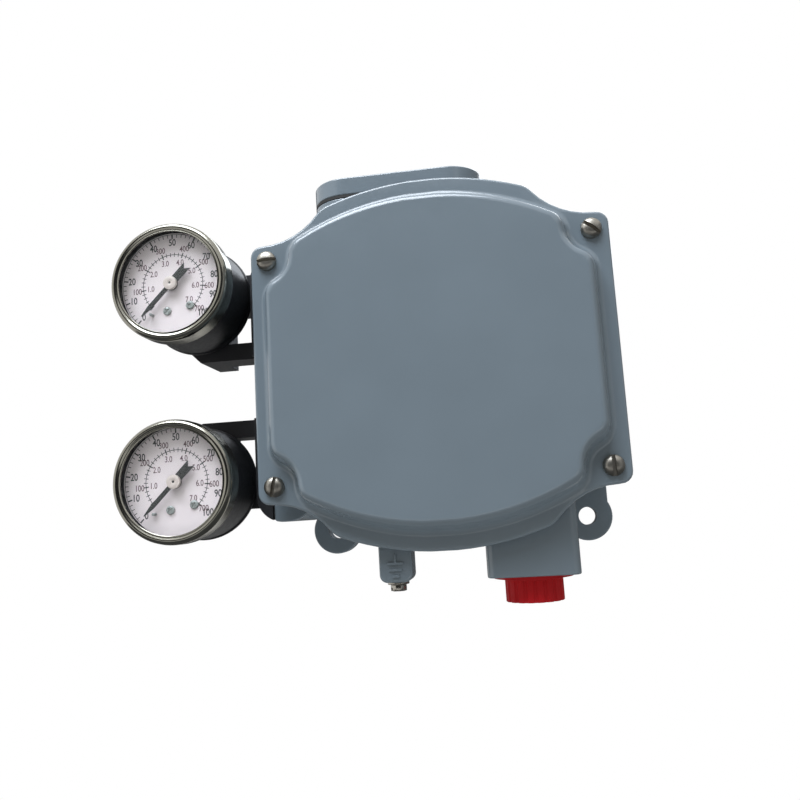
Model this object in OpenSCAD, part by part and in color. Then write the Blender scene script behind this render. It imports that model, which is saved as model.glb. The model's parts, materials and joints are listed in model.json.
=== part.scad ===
// Force-balance valve positioner with two pressure gauges.
// +Z is up as installed, the cover faces -Y, and the back mounting face lies on y = 0.
// The feedback shaft runs along the Y axis through the origin.

/* [Cover] */
// Width of the cover across its straight sides
cover_w = 124; // [120:0.2:130]
// Height of the cover across its four ears
ear_h = 91; // [89:0.2:94]
// Height of the cover across its top and bottom arcs
dome_h = 127.6; // [125:0.2:131]
// Radius of the top and bottom arcs of the cover flange
dome_r = 99; // [96:0.5:104]
// Thickness of the cover flange
flange_t = 5; // [3.5:0.1:8]
// Height of the raised panel above the flange
panel_rise = 8; // [6.5:0.1:12]
// Wall thickness of the raised panel
cover_wall = 3.2; // [2:0.1:4]

/* [Cover screws] */
// Distance between the cover screws across the width
screw_pitch_x = 112; // [110:0.2:114]
// Distance from the cover screws to the ends of the ears
screw_edge = 5.95; // [5.5:0.05:7]
// Radius of the cover screw heads
screw_head_r = 3.5; // [3:0.1:4]
// Height of the cover screw heads
screw_head_h = 2.6; // [2:0.1:4]
// Radius of the cover screw shanks
screw_r = 2; // [1.5:0.1:2.5]
// Length of thread that a cover screw has in the housing
screw_grip = 7.5; // [5:0.5:7.5]

/* [Housing] */
// Depth of the housing from the back face to the rim
housing_d = 61; // [60:0.5:68]
// Depth of the rim flange under the cover
rim_d = 9.5; // [9:0.5:12]
// How far the body behind the rim flange is set in
body_inset = 4; // [3:0.2:5]
// Thickness of the back wall
back_wall = 5; // [4:0.2:6]
// Width and height of the square mounting pad
pad_size = 64; // [60:1:70]
// Distance between the tapped mounting holes on the back, both ways
mount_pitch = 46; // [44:1:48]
// Radius of the tapped mounting holes
mount_hole_r = 3.4; // [2.5:0.1:4]

/* [Lugs] */
// Distance between the two lug holes
lug_pitch = 100.2; // [98:0.2:104]
// How far the middle of the lugs is to the right of the shaft axis
lug_shift = 1.8; // [0:0.2:2]
// Height of the lug holes below the shaft axis
lug_drop = 56; // [55:0.5:60]
// Outer radius of the lugs
lug_r = 9.5; // [8:0.1:11]
// Radius of the lug holes
lug_hole_r = 3.5; // [2.5:0.1:4.5]
// Thickness of the lugs
lug_t = 7; // [5:0.5:10]

/* [Conduit hub] */
// Width and depth of the conduit hub
hub_w = 30.6; // [29:0.2:32]
// Distance of the hub axis to the right of the shaft axis
hub_x = 28.4; // [26:0.2:30]
// Distance of the hub's lower face below the shaft axis
hub_drop = 73.7; // [71:0.1:80]
// Radius of the conduit bore
conduit_r = 9.25; // [8.5:0.05:10]

/* [Earth terminal] */
// Width of the earth boss
earth_w = 11.1; // [10:0.1:12]
// Distance of the earth boss to the left of the shaft axis
earth_x = 17.1; // [15:0.1:20]
// Distance of the earth boss's lower face below the shaft axis
earth_drop = 73.5; // [71:0.1:78]

/* [Signal chamber] */
// Width of the signal chamber cap
cap_w = 63; // [60:0.5:66]
// Corner radius of the signal chamber cap
cap_corner_r = 13; // [9:0.5:15]
// Height of the signal chamber cap
cap_h = 6.7; // [6.5:0.1:10]

/* [Gauges] */
// Outer radius of the gauge cases
case_r = 20; // [19:0.1:22]
// Distance of the gauge axes to the left of the shaft axis
gauge_x = 89.5; // [89:0.1:92]
// Distance between the two gauge axes
gauge_pitch = 69.4; // [67:0.2:72]
// Length of the gauge cases
gauge_case_l = 27.8; // [26:0.2:30]

/* [Feedback] */
// Radius of the feedback shaft
shaft_r = 4; // [3.6:0.1:4.4]
// Length of the feedback shaft outside the back face
shaft_out = 20; // [16:0.5:26]
// Turn of the feedback shaft over the full valve travel, in degrees
shaft_turn = 90; // [60:5:90]
// Swing of the follower lever over the full travel, in degrees
lever_swing = 6; // [4:0.1:6.5]
// Radius of the cam follower roller
roller_r = 4; // [3.5:0.1:4.2]

/* [Hidden] */
$fn = 48;
// Radial gap of a piece that turns or slides in a bore
run_gap = 0.03;
// Gap between fixed pieces that slip together
slip_gap = 0.05;
// Gap between moving pieces that meet without a fit
free_gap = 0.3;

half_w = cover_w / 2;
ear_z = ear_h / 2;
dome_z = dome_h / 2;
dome_c = dome_r - dome_z;
screw_x = screw_pitch_x / 2;
screw_z = ear_h / 2 - screw_edge;

// Depth planes, from the back face at 0 towards the viewer
pad_rise = 3;
rim_y = -housing_d;
flange_y = rim_y - flange_t;
panel_y = flange_y - panel_rise;
floor_y = -(pad_rise + back_wall);

// Rounding of the flange outline: convex shoulder, concave neck, ear corner
shoulder_x = 31.2;
shoulder_r = 8;
neck_r = 26;
ear_corner_r = 4;

// Rounding of the raised panel outline around the screws
panel_half_w = half_w - 7.6;
panel_dome_r = dome_r - 9;
scallop_r = 10.5;
panel_tip_r = 5;
panel_side_r = 5;
// The housing cavity follows the raised panel, this much smaller
cavity_step = -1;

// Steps on each arc of a quarter outline
dome_n = 8;
tip_n = 4;
neck_n = 6;
corner_n = 5;

function arc(c, r, a0, a1, n, first = 0) =
    [for (i = [first : n]) let (a = a0 + (a1 - a0) * i / n) c + r * [cos(a), sin(a)]];
function angle_of(v) = atan2(v[1], v[0]);
function reversed(p) = [for (i = [len(p) - 1 : -1 : 0]) p[i]];
function flipped(p, sx, sz) = [for (q = p) [sx * q[0], sz * q[1]]];
// A closed outline from its upper right quarter
function four_way(q) = concat(
    q,
    reversed(flipped(q, 1, -1)),
    flipped(q, -1, -1),
    reversed(flipped(q, -1, 1)));
// Where circles of radius p about a and q about b cross, on the left of the way from a to b
function circle_meet(a, p, b, q) =
    let (v = b - a, d = norm(v), u = v / d, t = (p * p - q * q + d * d) / (2 * d), h = sqrt(p * p - t * t))
    a + t * u + h * [-u[1], u[0]];

// Upper right quarter of the cover flange, grown by d
function flange_quarter(d) =
    let (o = [0, -dome_c],
         c1 = [shoulder_x, -dome_c + sqrt(pow(dome_r - shoulder_r, 2) - shoulder_x * shoulder_x)],
         rise = ear_z + neck_r - c1[1],
         c2 = [shoulder_x + sqrt(pow(shoulder_r + neck_r, 2) - rise * rise), ear_z + neck_r],
         c3 = [half_w - ear_corner_r, ear_z - ear_corner_r],
         a1 = angle_of(c1 - o),
         a2 = angle_of(c2 - c1))
    concat(
        arc(o, dome_r + d, 90, a1, dome_n, 1),
        arc(c1, shoulder_r + d, a1, a2, tip_n, 1),
        arc(c2, neck_r - d, a2 + 180, 270, neck_n, 1),
        arc(c3, ear_corner_r + d, 90, 0, corner_n, 1));

// Upper right quarter of the raised panel, grown by d
function panel_quarter(d) =
    let (o = [0, -dome_c],
         s = [screw_x, screw_z],
         c1 = circle_meet(o, panel_dome_r - panel_tip_r, s, scallop_r + panel_tip_r),
         bx = panel_half_w - panel_side_r,
         c2 = [bx, screw_z - sqrt(pow(scallop_r + panel_side_r, 2) - pow(screw_x - bx, 2))],
         a1 = angle_of(c1 - o),
         a2 = angle_of(s - c1),
         a3 = angle_of(c2 - s) + 360)
    concat(
        arc(o, panel_dome_r + d, 90, a1, dome_n, 1),
        arc(c1, panel_tip_r + d, a1, a2, tip_n, 1),
        arc(s, scallop_r - d, a2 + 180, a3, neck_n, 1),
        arc(c2, panel_side_r + d, angle_of(s - c2), 0, corner_n, 1));

module flange_outline(d = 0) { polygon(four_way(flange_quarter(d))); }
module panel_outline(d = 0) { polygon(four_way(panel_quarter(d))); }

// A flat outline in X and Z, made a slab from y0 at the front to y1 at the back
module slab(y0, y1) { translate([0, y1, 0]) rotate([90, 0, 0]) linear_extrude(y1 - y0) children(); }
module rod_y(x, z, r, y0, y1) { translate([x, y1, z]) rotate([90, 0, 0]) cylinder(r = r, h = y1 - y0); }
module rod_z(x, y, r, z0, z1) { translate([x, y, z0]) cylinder(r = r, h = z1 - z0); }
module rod_x(y, z, r, x0, x1) { translate([x0, y, z]) rotate([0, 90, 0]) cylinder(r = r, h = x1 - x0); }
module box(x0, x1, y0, y1, z0, z1) { translate([x0, y0, z0]) cube([x1 - x0, y1 - y0, z1 - z0]); }
module rounded_rect(w, h, r) {
    square([w - 2 * r, h], center = true);
    square([w, h - 2 * r], center = true);
    for (sx = [-1, 1], sy = [-1, 1]) translate([sx * (w / 2 - r), sy * (h / 2 - r)]) circle(r);
}
// A slotted screw on the Z axis, its head above z = 0
slot_w = 1.2;
module slotted_screw(head_r, head_h, r, length) {
    difference() {
        union() {
            cylinder(r = head_r, h = head_h);
            translate([0, 0, -length]) cylinder(r = r, h = length);
        }
        translate([-head_r - 1, -slot_w / 2, head_h / 2]) cube([2 * head_r + 2, slot_w, head_h]);
    }
}
// A socket-head screw on the Z axis, its head above z = 0
module socket_screw(head_r, head_h, r, length) {
    difference() {
        union() {
            cylinder(r = head_r, h = head_h);
            translate([0, 0, -length]) cylinder(r = r, h = length);
        }
        translate([0, 0, head_h * 0.4]) cylinder(r = head_r * 0.55, h = head_h, $fn = 6);
    }
}

// Cover
edge_r = 0.9;
panel_foot = 4.3;
foot_r = 2.4;
brow_r = 2.5;
wall_draft = 15;
wall_rise = panel_rise - (foot_r + brow_r) * (1 - sin(wall_draft));
brow_d = panel_foot - (foot_r + brow_r) * cos(wall_draft) - wall_rise * tan(wall_draft);
cover_hole_r = screw_r + free_gap;

function ring_points(rings) = [for (r = rings, p = r[0]) [p[0], r[1], p[1]]];
// Triangles up a wall of rings with n points each, from point number s on
function wall_faces(count, n, s) = [
    for (k = [0 : count - 2], i = [0 : n - 1]) let (a = s + k * n + i, b = s + k * n + (i + 1) % n)
        each [[a, b, a + n], [b, b + n, a + n]]];
// Triangles of the flat between an outer ring p and an inner ring q, each time across the shorter way
function flat_faces(p, q, s, t, i = 0, j = 0) =
    i == len(p) && j == len(q) ? [] :
    let (a = i % len(p), b = j % len(q), c = (i + 1) % len(p), d = (j + 1) % len(q),
         outer = j == len(q) || (i < len(p) && norm(p[c] - q[b]) < norm(p[a] - q[d])))
    concat(
        [[s + a, outer ? s + c : t + d, t + b]],
        flat_faces(p, q, s, t, outer ? i + 1 : i, outer ? j : j + 1));
// The flange with its round edge, its flat, and the panel from the foot over the brow
module cover_skin() {
    edge = concat(
        [[four_way(flange_quarter(0)), rim_y]],
        [for (a = [0 : 30 : 90])
            [four_way(flange_quarter(edge_r * (cos(a) - 1))), flange_y + edge_r * (1 - sin(a))]]);
    panel = concat(
        [for (i = [0 : 4]) let (a = (90 - wall_draft) * i / 4)
            [four_way(panel_quarter(panel_foot - foot_r * sin(a))), flange_y - foot_r * (1 - cos(a))]],
        [for (i = [0 : 4]) let (a = wall_draft + (90 - wall_draft) * i / 4)
            [four_way(panel_quarter(brow_d + brow_r * cos(a))), panel_y + brow_r * (1 - sin(a))]]);
    n = len(edge[0][0]);
    lip = len(edge) - 1;
    foot = len(edge) * n;
    polyhedron(
        ring_points(concat(edge, panel)),
        concat(
            [[for (i = [n - 1 : -1 : 0]) i]],
            wall_faces(len(edge), n, 0),
            flat_faces(edge[lip][0], panel[0][0], lip * n, foot),
            wall_faces(len(panel), n, foot),
            [[for (i = [0 : n - 1]) foot + (len(panel) - 1) * n + i]]));
}
module at_cover_screws() {
    for (sx = [-1, 1], sz = [-1, 1]) translate([sx * screw_x, 0, sz * screw_z]) children();
}
module front_cover() {
    color([0.45, 0.5, 0.53]) difference() {
        cover_skin();
        slab(panel_y + cover_wall, rim_y + 1) panel_outline(-cover_wall);
        at_cover_screws() rod_y(0, 0, cover_hole_r, flange_y - 1, rim_y + 1);
    }
}

// Cover gasket, a cord in a groove of the rim
groove_in = 0.8;
groove_out = 3.2;
groove_d = 1.6;
module groove_outline(in, out) {
    difference() {
        panel_outline(out);
        panel_outline(in);
    }
}
module cover_gasket() {
    color([0.1, 0.1, 0.1]) slab(rim_y, rim_y + groove_d)
        groove_outline(groove_in + slip_gap, groove_out - slip_gap);
}

// Turn of the slots as the screws were left, from upper left clockwise
slot_turns = [4, 140, 92, 80];
module cover_screws() {
    places = [[-1, 1], [1, 1], [1, -1], [-1, -1]];
    color([0.72, 0.71, 0.68]) for (i = [0 : 3])
        translate([places[i][0] * screw_x, flange_y, places[i][1] * screw_z])
            rotate([90, 0, 0])
                rotate([0, 0, slot_turns[i]])
                    slotted_screw(screw_head_r, screw_head_h, screw_r, flange_t + screw_grip);
}

// Gauge blocks on the left of the housing
gauge_mid = -1.1;
gauge_z = gauge_mid + gauge_pitch / 2;
gasket_t = 0.6;
block_x = 63;
pad_x = block_x - gasket_t;
plate_x = 69;
plate_y0 = -46;
plate_y1 = -18;
plate_top = 49.2;
plate_corner_r = 10;
port_pad_in = 47;
block_y0 = -41;
bar_y1 = -29;
block_y1 = -20;
block_left = gauge_x + 9.5;
block_top = gauge_z + 10;
bar_low = 10.6;
bar_top = 17;
window_x = 83.2;
window_top = 29.5;
block_screw_r = 2.5;
block_screw_y = -23;
block_screw_z = [14.6, 35];
thread_r = 4.85;
thread_l = 8;
port_r = 5.7;
port_l = 10;
// Front view of the plates and of the pad under them, from x0 to x1, with large outer corners
module port_side_outline(x0, x1) {
    side_h = 2 * (plate_top - gauge_mid);
    intersection() {
        translate([-(plate_x + port_pad_in) / 2, gauge_mid])
            rounded_rect(plate_x - port_pad_in, side_h, plate_corner_r);
        translate([x0, gauge_mid - side_h]) square([x1 - x0, 2 * side_h]);
    }
}
module block_bar_outline() {
    polygon([[-block_x, bar_low], [-block_x, block_top], [-block_left, block_top],
        [-block_left, bar_low + 8], [-block_left + 8, bar_low]]);
}
module block_window() {
    translate([-window_x, bar_top]) square([window_x - plate_x, window_top - bar_top]);
}
module gauge_block() {
    difference() {
        union() {
            slab(block_y0, bar_y1) block_bar_outline();
            slab(block_y0, block_y1) intersection() {
                block_bar_outline();
                translate([-block_left, bar_low]) square([block_left - window_x, block_top]);
            }
            slab(plate_y0, plate_y1) intersection() {
                port_side_outline(-plate_x, -block_x);
                translate([-plate_x, bar_low]) square([plate_x - block_x, plate_top]);
            }
        }
        slab(block_y0 - 1, block_y1 + 1) block_window();
        rod_y(-gauge_x, gauge_z, thread_r + slip_gap, block_y0 - 1, block_y0 + thread_l + 1);
        rod_y(-gauge_x, gauge_z, 2, block_y0, block_y1);
        rod_y(-gauge_x, gauge_z, port_r, block_y1 - port_l, block_y1 + 1);
        for (z = block_screw_z) rod_x(block_screw_y, z, block_screw_r + slip_gap, -plate_x - 1, -block_x + 1);
    }
}
// The lower gauge and its block mirror the upper ones about the middle
module lower() { translate([0, 0, 2 * gauge_mid]) mirror([0, 0, 1]) children(); }
module output_block() { color([0.2, 0.2, 0.21]) gauge_block(); }
module supply_block() { color([0.2, 0.2, 0.21]) lower() gauge_block(); }
module block_gasket() {
    difference() {
        box(-block_x, -pad_x, plate_y0 + 1, plate_y1 - 1, bar_low + 1, plate_top - 1);
        for (z = block_screw_z) rod_x(block_screw_y, z, block_screw_r + free_gap, -block_x - 1, -pad_x + 1);
    }
}
module block_gaskets() {
    color([0.1, 0.1, 0.1]) {
        block_gasket();
        lower() block_gasket();
    }
}
block_screw_l = 14;
module block_screw_pair() {
    for (z = block_screw_z) translate([-plate_x, block_screw_y, z]) rotate([0, -90, 0])
        socket_screw(4, 4, block_screw_r, block_screw_l);
}
module block_screws() {
    color([0.25, 0.25, 0.26]) {
        block_screw_pair();
        lower() block_screw_pair();
    }
}

// Gauges, each turned about its own axis: radius, then distance in front of the back face
case_back = 44;
case_front = case_back + gauge_case_l;
bezel_grip = 1.15;
bezel_r = case_r + bezel_grip;
case_wall = 1;
case_floor = 1.5;
lens_t = 1.3;
lip_t = 0.8;
bezel_front = case_front + lens_t + 0.1 + lip_t;
bezel_back = bezel_front - 8;
bezel_lip = 2;
bezel_open_r = case_r - bezel_lip;
bezel_round = 1.6;
dial_front = bezel_front - 5.5;
dial_t = 0.6;
dial_r = case_r - case_wall - 0.1;
arbor_r = 0.8;
neck_r_socket = 5;
module turned_upper() {
    translate([-gauge_x, 0, gauge_z]) rotate([90, 0, 0]) rotate_extrude($fn = 96) children();
}
module gauge_case() {
    turned_upper() polygon([
        [neck_r_socket + slip_gap, case_back], [case_r + 0.6, case_back], [case_r + 0.6, case_back + 1.4],
        [case_r, case_back + 2], [case_r, case_front], [case_r - case_wall, case_front],
        [case_r - case_wall, case_back + case_floor], [neck_r_socket + slip_gap, case_back + case_floor]]);
}
module gauge_bezel() {
    turned_upper() polygon(concat(
        [[case_r + slip_gap, bezel_back], [bezel_r, bezel_back]],
        arc([bezel_r - bezel_round, bezel_front - bezel_round], bezel_round, 0, 90, 6),
        [[bezel_open_r + 0.3, bezel_front], [bezel_open_r, bezel_front - 0.3],
         [bezel_open_r, bezel_front - lip_t], [case_r + slip_gap, bezel_front - lip_t]]));
}
module gauge_lens() {
    turned_upper() translate([0, case_front + slip_gap]) square([case_r - slip_gap, lens_t]);
}
dial_bore_r = arbor_r + 0.2;
dial_screw_r = 0.8;
dial_screw_head_r = 1.5;
screw_spots = [[-2.2, -9.4], [6.2, -8]];
// The pointer's stop pin is left of the pointer at zero
stop_r = 0.5;
stop_spot = 13 * [cos(234), sin(234)];
module at_dial_spots() { for (p = screw_spots) translate([-gauge_x + p[0], 0, gauge_z + p[1]]) children(); }
module at_stop() { translate([-gauge_x + stop_spot[0], 0, gauge_z + stop_spot[1]]) children(); }
module gauge_dial() {
    difference() {
        turned_upper() translate([dial_bore_r, dial_front - dial_t]) square([dial_r - dial_bore_r, dial_t]);
        at_dial_spots() rod_y(0, 0, dial_screw_r + slip_gap, -dial_front - 1, -dial_front + dial_t + 1);
        at_stop() rod_y(0, 0, stop_r + slip_gap, -dial_front - 1, -dial_front + 2);
    }
}
// Two dial screws and the stop pin
module dial_screws() {
    at_dial_spots() {
        rod_y(0, 0, dial_screw_head_r, -dial_front - 0.7, -dial_front);
        rod_y(0, 0, dial_screw_r, -dial_front, -dial_front + 5);
    }
    at_stop() rod_y(0, 0, stop_r, -dial_front - 2.3, -dial_front + 2);
}
// Movement plates behind the dial, on the socket
movement_front = dial_front - dial_t;
movement_back = 57.5;
module gauge_movement() {
    difference() {
        union() {
            translate([-gauge_x, 0, gauge_z]) {
                box(-9, 9, -movement_front, -movement_front + 1.4, -12, 7);
                box(-7, 7, -movement_back - 1.4, -movement_back, -10, 6);
                for (s = [-1, 1]) rod_y(s * 5.5, 4, 1.4, -movement_front, -movement_back);
            }
        }
        rod_y(-gauge_x, gauge_z, arbor_r + run_gap, -movement_front - 1, -movement_back + 1);
        at_dial_spots() rod_y(0, 0, dial_screw_r + slip_gap, -movement_front - 1, -movement_front + 6);
        at_stop() rod_y(0, 0, stop_r + 2 * slip_gap, -movement_front - 1, -movement_front + 3);
    }
}
socket_w = 10;
socket_low = 17;
socket_y1 = -(case_back + 2);
wrench_w = 12;
tube_r = 13;
tube_w = 2;
tube_h = 5;
tube_back = case_back + 5;
module gauge_socket_block() {
    translate([-gauge_x, 0, gauge_z])
        box(-socket_w / 2, socket_w / 2, -movement_back, socket_y1, -socket_low, socket_w / 2);
}
module gauge_socket() {
    gauge_socket_block();
    rod_y(-gauge_x, gauge_z, neck_r_socket, socket_y1, -case_back);
    translate([-gauge_x, 0, gauge_z])
        box(-wrench_w / 2, wrench_w / 2, -case_back, block_y0, -wrench_w / 2, wrench_w / 2);
    rod_y(-gauge_x, gauge_z, thread_r, block_y0, block_y0 + thread_l);
}
module gauge_tube() {
    difference() {
        translate([-gauge_x, 0, gauge_z]) rotate([90, 0, 0]) rotate([0, 0, -90])
            rotate_extrude(angle = 255) translate([tube_r, tube_back]) square([tube_w, tube_h]);
        gauge_socket_block();
    }
}
// The pointer rests at zero, at the lower left
pointer_rest = 225;
pointer_y = -(dial_front + 1.6);
pointer_t = 0.5;
pointer_hub_r = 2.4;
needle_l = 15.5;
needle_w = 1.5;
needle_point = 0.3;
needle_taper = 4;
tail_l = 8.4;
tail_w = 2.9;
tail_notch = 1.5;
module pointer_half() {
    polygon([
        [needle_l, 0], [needle_l, needle_point / 2], [needle_l - needle_taper, needle_w / 2],
        [0, needle_w / 2], [0, tail_w / 2], [-tail_l, tail_w / 2], [-tail_l + tail_notch, 0]]);
}
module gauge_pointer() {
    translate([-gauge_x, 0, gauge_z]) {
        slab(pointer_y - pointer_t, pointer_y) rotate(pointer_rest) {
            pointer_half();
            mirror([0, 1]) pointer_half();
        }
        rod_y(0, 0, pointer_hub_r, -case_front + 0.4, pointer_y + 0.4);
        rod_y(0, 0, arbor_r, pointer_y, -movement_back);
    }
}
// The lower pointer rests at zero too, so it is moved down and not mirrored
module lower_moved() { translate([0, 0, -gauge_pitch]) children(); }
module upper_gauge_case() { color([0.13, 0.13, 0.14]) gauge_case(); }
module upper_gauge_bezel() { color([0.7, 0.69, 0.67]) gauge_bezel(); }
module upper_gauge_lens() { color([0.85, 0.9, 0.92, 0.4]) gauge_lens(); }
module upper_gauge_dial() { color([0.93, 0.92, 0.91]) gauge_dial(); }
module upper_dial_screws() { color([0.6, 0.58, 0.5]) dial_screws(); }
module upper_gauge_movement() { color([0.75, 0.62, 0.35]) gauge_movement(); }
module upper_gauge_socket() { color([0.72, 0.58, 0.3]) gauge_socket(); }
module upper_gauge_tube() { color([0.7, 0.5, 0.3]) gauge_tube(); }
module upper_pointer() { color([0.06, 0.06, 0.06]) gauge_pointer(); }
module lower_gauge_case() { color([0.13, 0.13, 0.14]) lower_moved() gauge_case(); }
module lower_gauge_bezel() { color([0.7, 0.69, 0.67]) lower_moved() gauge_bezel(); }
module lower_gauge_lens() { color([0.85, 0.9, 0.92, 0.4]) lower_moved() gauge_lens(); }
module lower_gauge_dial() { color([0.93, 0.92, 0.91]) lower_moved() gauge_dial(); }
module lower_dial_screws() { color([0.6, 0.58, 0.5]) lower_moved() dial_screws(); }
module lower_gauge_movement() { color([0.75, 0.62, 0.35]) lower_moved() gauge_movement(); }
module lower_gauge_socket() { color([0.72, 0.58, 0.3]) lower_moved() gauge_socket(); }
module lower_gauge_tube() { color([0.7, 0.5, 0.3]) lower_moved() gauge_tube(); }
module lower_pointer() { color([0.06, 0.06, 0.06]) lower_moved() gauge_pointer(); }

// Signal chamber on the housing's roof
cap_x = 10.7;
cap_d = 44;
cap_y = rim_y + 5 + cap_d / 2;
cap_seat_z = dome_z + 0.5;
sheet_t = 1;
cap_low = cap_seat_z + sheet_t;
cap_top = cap_low + cap_h;
chamber_r = 17;
chamber_d = 4;
cap_screw_r = 2;
cap_screw_head_r = 3.5;
cap_screw_head_h = 3.4;
cap_screw_grip = 8;
stem_r = 2;
plate_r = 14;
plate_t = 1.6;
module cap_outline() { translate([-cap_x, cap_y]) rounded_rect(cap_w, cap_d, cap_corner_r); }
module at_cap_screws() {
    for (sx = [-1, 1], sy = [-1, 1])
        translate([-cap_x + sx * (cap_w / 2 - 8), cap_y + sy * (cap_d / 2 - 8), 0]) children();
}
module top_cap() {
    color([0.45, 0.5, 0.53]) difference() {
        translate([0, 0, cap_low]) linear_extrude(cap_h) cap_outline();
        rod_z(-cap_x, cap_y, chamber_r, cap_low - 1, cap_low + chamber_d);
        at_cap_screws() {
            rod_z(0, 0, cap_screw_r + slip_gap, cap_low - 1, cap_top + 1);
            rod_z(0, 0, cap_screw_head_r + free_gap, cap_top - cap_screw_head_h - 0.5, cap_top + 1);
        }
    }
}
module signal_diaphragm() {
    color([0.15, 0.15, 0.15]) difference() {
        translate([0, 0, cap_seat_z]) linear_extrude(sheet_t) cap_outline();
        rod_z(-cap_x, cap_y, stem_r + free_gap, cap_seat_z - 1, cap_low + 1);
        at_cap_screws() rod_z(0, 0, cap_screw_r + free_gap, cap_seat_z - 1, cap_low + 1);
    }
}
module top_cap_screws() {
    head_z = cap_top - cap_screw_head_h - 0.5;
    color([0.4, 0.4, 0.4]) at_cap_screws() translate([0, 0, head_z])
        socket_screw(cap_screw_head_r, cap_screw_head_h, cap_screw_r, head_z - cap_seat_z + cap_screw_grip);
}

// Mechanism: cam, follower lever, zero wheel, spring, beam and diaphragm stem
mech_y = cap_y;
lever_x = 34;
lever_z = 16.2;
lever_t = 4;
lever_h = 6;
lever_y0 = mech_y - lever_t / 2;
lever_y1 = mech_y + lever_t / 2;
lever_end = 25;
pin_r = 2;
pin_head_r = 3.4;
pin_head_t = 1.6;
post_r = 4.8;
seat_x = 18;
seat_z = lever_z + lever_h / 2;
wheel_r = 7;
wheel_z0 = seat_z + free_gap;
wheel_z1 = wheel_z0 + 4;
beam_x = 38;
beam_z = 38;
beam_h = 4;
beam_w = 8;
beam_y0 = mech_y - beam_w / 2;
beam_y1 = mech_y + beam_w / 2;
beam_low = beam_z - beam_h / 2;
beam_top = beam_z + beam_h / 2;
spool_x = 35;
module diaphragm_stem() {
    color([0.7, 0.7, 0.72]) {
        rod_z(-cap_x, cap_y, stem_r, beam_top + free_gap, cap_low + plate_t);
        rod_z(-cap_x, cap_y, plate_r, cap_seat_z - plate_t, cap_seat_z);
        rod_z(-cap_x, cap_y, plate_r, cap_low, cap_low + plate_t);
    }
}

// Shaft and cam
bush_r = 6.5;
bush_flange_r = 9;
bush_flange_t = 2;
seal_r = 8;
seal_t = 4;
shaft_boss_r = 11;
cam_gap = 3.7;
cam_t = 4;
nut_t = 4;
collar_t = 2;
cam_y0 = lever_y1 + cam_gap;
nut_y0 = cam_y0 - nut_t;
collar_y0 = cam_y0 + cam_t;
collar_y1 = collar_y0 + collar_t;
bush_y0 = collar_y1 + free_gap + bush_flange_t;
stud_r = 3;
clip_y0 = 0.4;
clip_t = 1;
clip_r = shaft_r - 0.6;
module shaft_bush() {
    color([0.72, 0.52, 0.28]) difference() {
        union() {
            rod_y(0, 0, bush_r, bush_y0, -seal_t - slip_gap);
            rod_y(0, 0, bush_flange_r, bush_y0 - bush_flange_t, bush_y0);
        }
        rod_y(0, 0, shaft_r + run_gap, bush_y0 - bush_flange_t - 1, 1);
    }
}
module shaft_seal() {
    color([0.12, 0.12, 0.12]) difference() {
        rod_y(0, 0, seal_r, -seal_t, -slip_gap);
        rod_y(0, 0, shaft_r + run_gap, -seal_t - 1, 1);
    }
}
module feedback_shaft() {
    color([0.66, 0.67, 0.68]) difference() {
        union() {
            rod_y(0, 0, shaft_r, collar_y1, clip_y0);
            rod_y(0, 0, clip_r, clip_y0, clip_y0 + clip_t + 0.1);
            rod_y(0, 0, shaft_r, clip_y0 + clip_t + 0.1, shaft_out);
            rod_y(0, 0, bush_flange_r - 2, collar_y0, collar_y1);
            rod_y(0, 0, stud_r, nut_y0 - 1, collar_y0);
        }
        box(-shaft_r, shaft_r, shaft_out - 5, shaft_out + 1, shaft_r - 1, shaft_r + 1);
    }
}
module shaft_clip() {
    color([0.3, 0.3, 0.31]) difference() {
        rod_y(0, 0, shaft_r + 2.5, clip_y0 + slip_gap, clip_y0 + clip_t + slip_gap);
        rod_y(0, 0, clip_r + slip_gap, clip_y0 - 1, clip_y0 + clip_t + 1);
        box(-1.8, 1.8, clip_y0 - 1, clip_y0 + clip_t + 1, -shaft_r - 4, -clip_r + 1);
    }
}
// Roller centre as the cam sees it when the shaft has turned by a
function roller_path(a) =
    let (s = a * lever_swing / shaft_turn,
         x = lever_x - lever_x * cos(s),
         z = lever_z + lever_x * sin(s))
    [x * cos(a) - z * sin(a), x * sin(a) + z * cos(a)];
function cam_point(a) =
    let (t = roller_path(a + 0.5) - roller_path(a - 0.5), n = [t[1], -t[0]] / norm(t))
    roller_path(a) - (roller_r + free_gap) * n;
cam_over = 12;
cam_base_r = 9;
module cam_outline() {
    polygon(concat(
        [for (i = [0 : 30]) cam_point(-cam_over + (shaft_turn + 2 * cam_over) * i / 30)],
        arc([0, 0], cam_base_r, 90 + shaft_turn + cam_over + 20, 450 - cam_over - 20, 16)));
}
module cam() {
    color([0.62, 0.62, 0.6]) difference() {
        slab(cam_y0, collar_y0) cam_outline();
        rod_y(0, 0, stud_r + slip_gap, cam_y0 - 1, collar_y0 + 1);
    }
}
module cam_nut() {
    color([0.68, 0.66, 0.6]) difference() {
        translate([0, cam_y0, 0]) rotate([90, 0, 0]) cylinder(r = 5.8, h = cam_y0 - nut_y0, $fn = 6);
        rod_y(0, 0, stud_r + slip_gap, nut_y0 - 1, cam_y0 + 1);
    }
}

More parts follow.
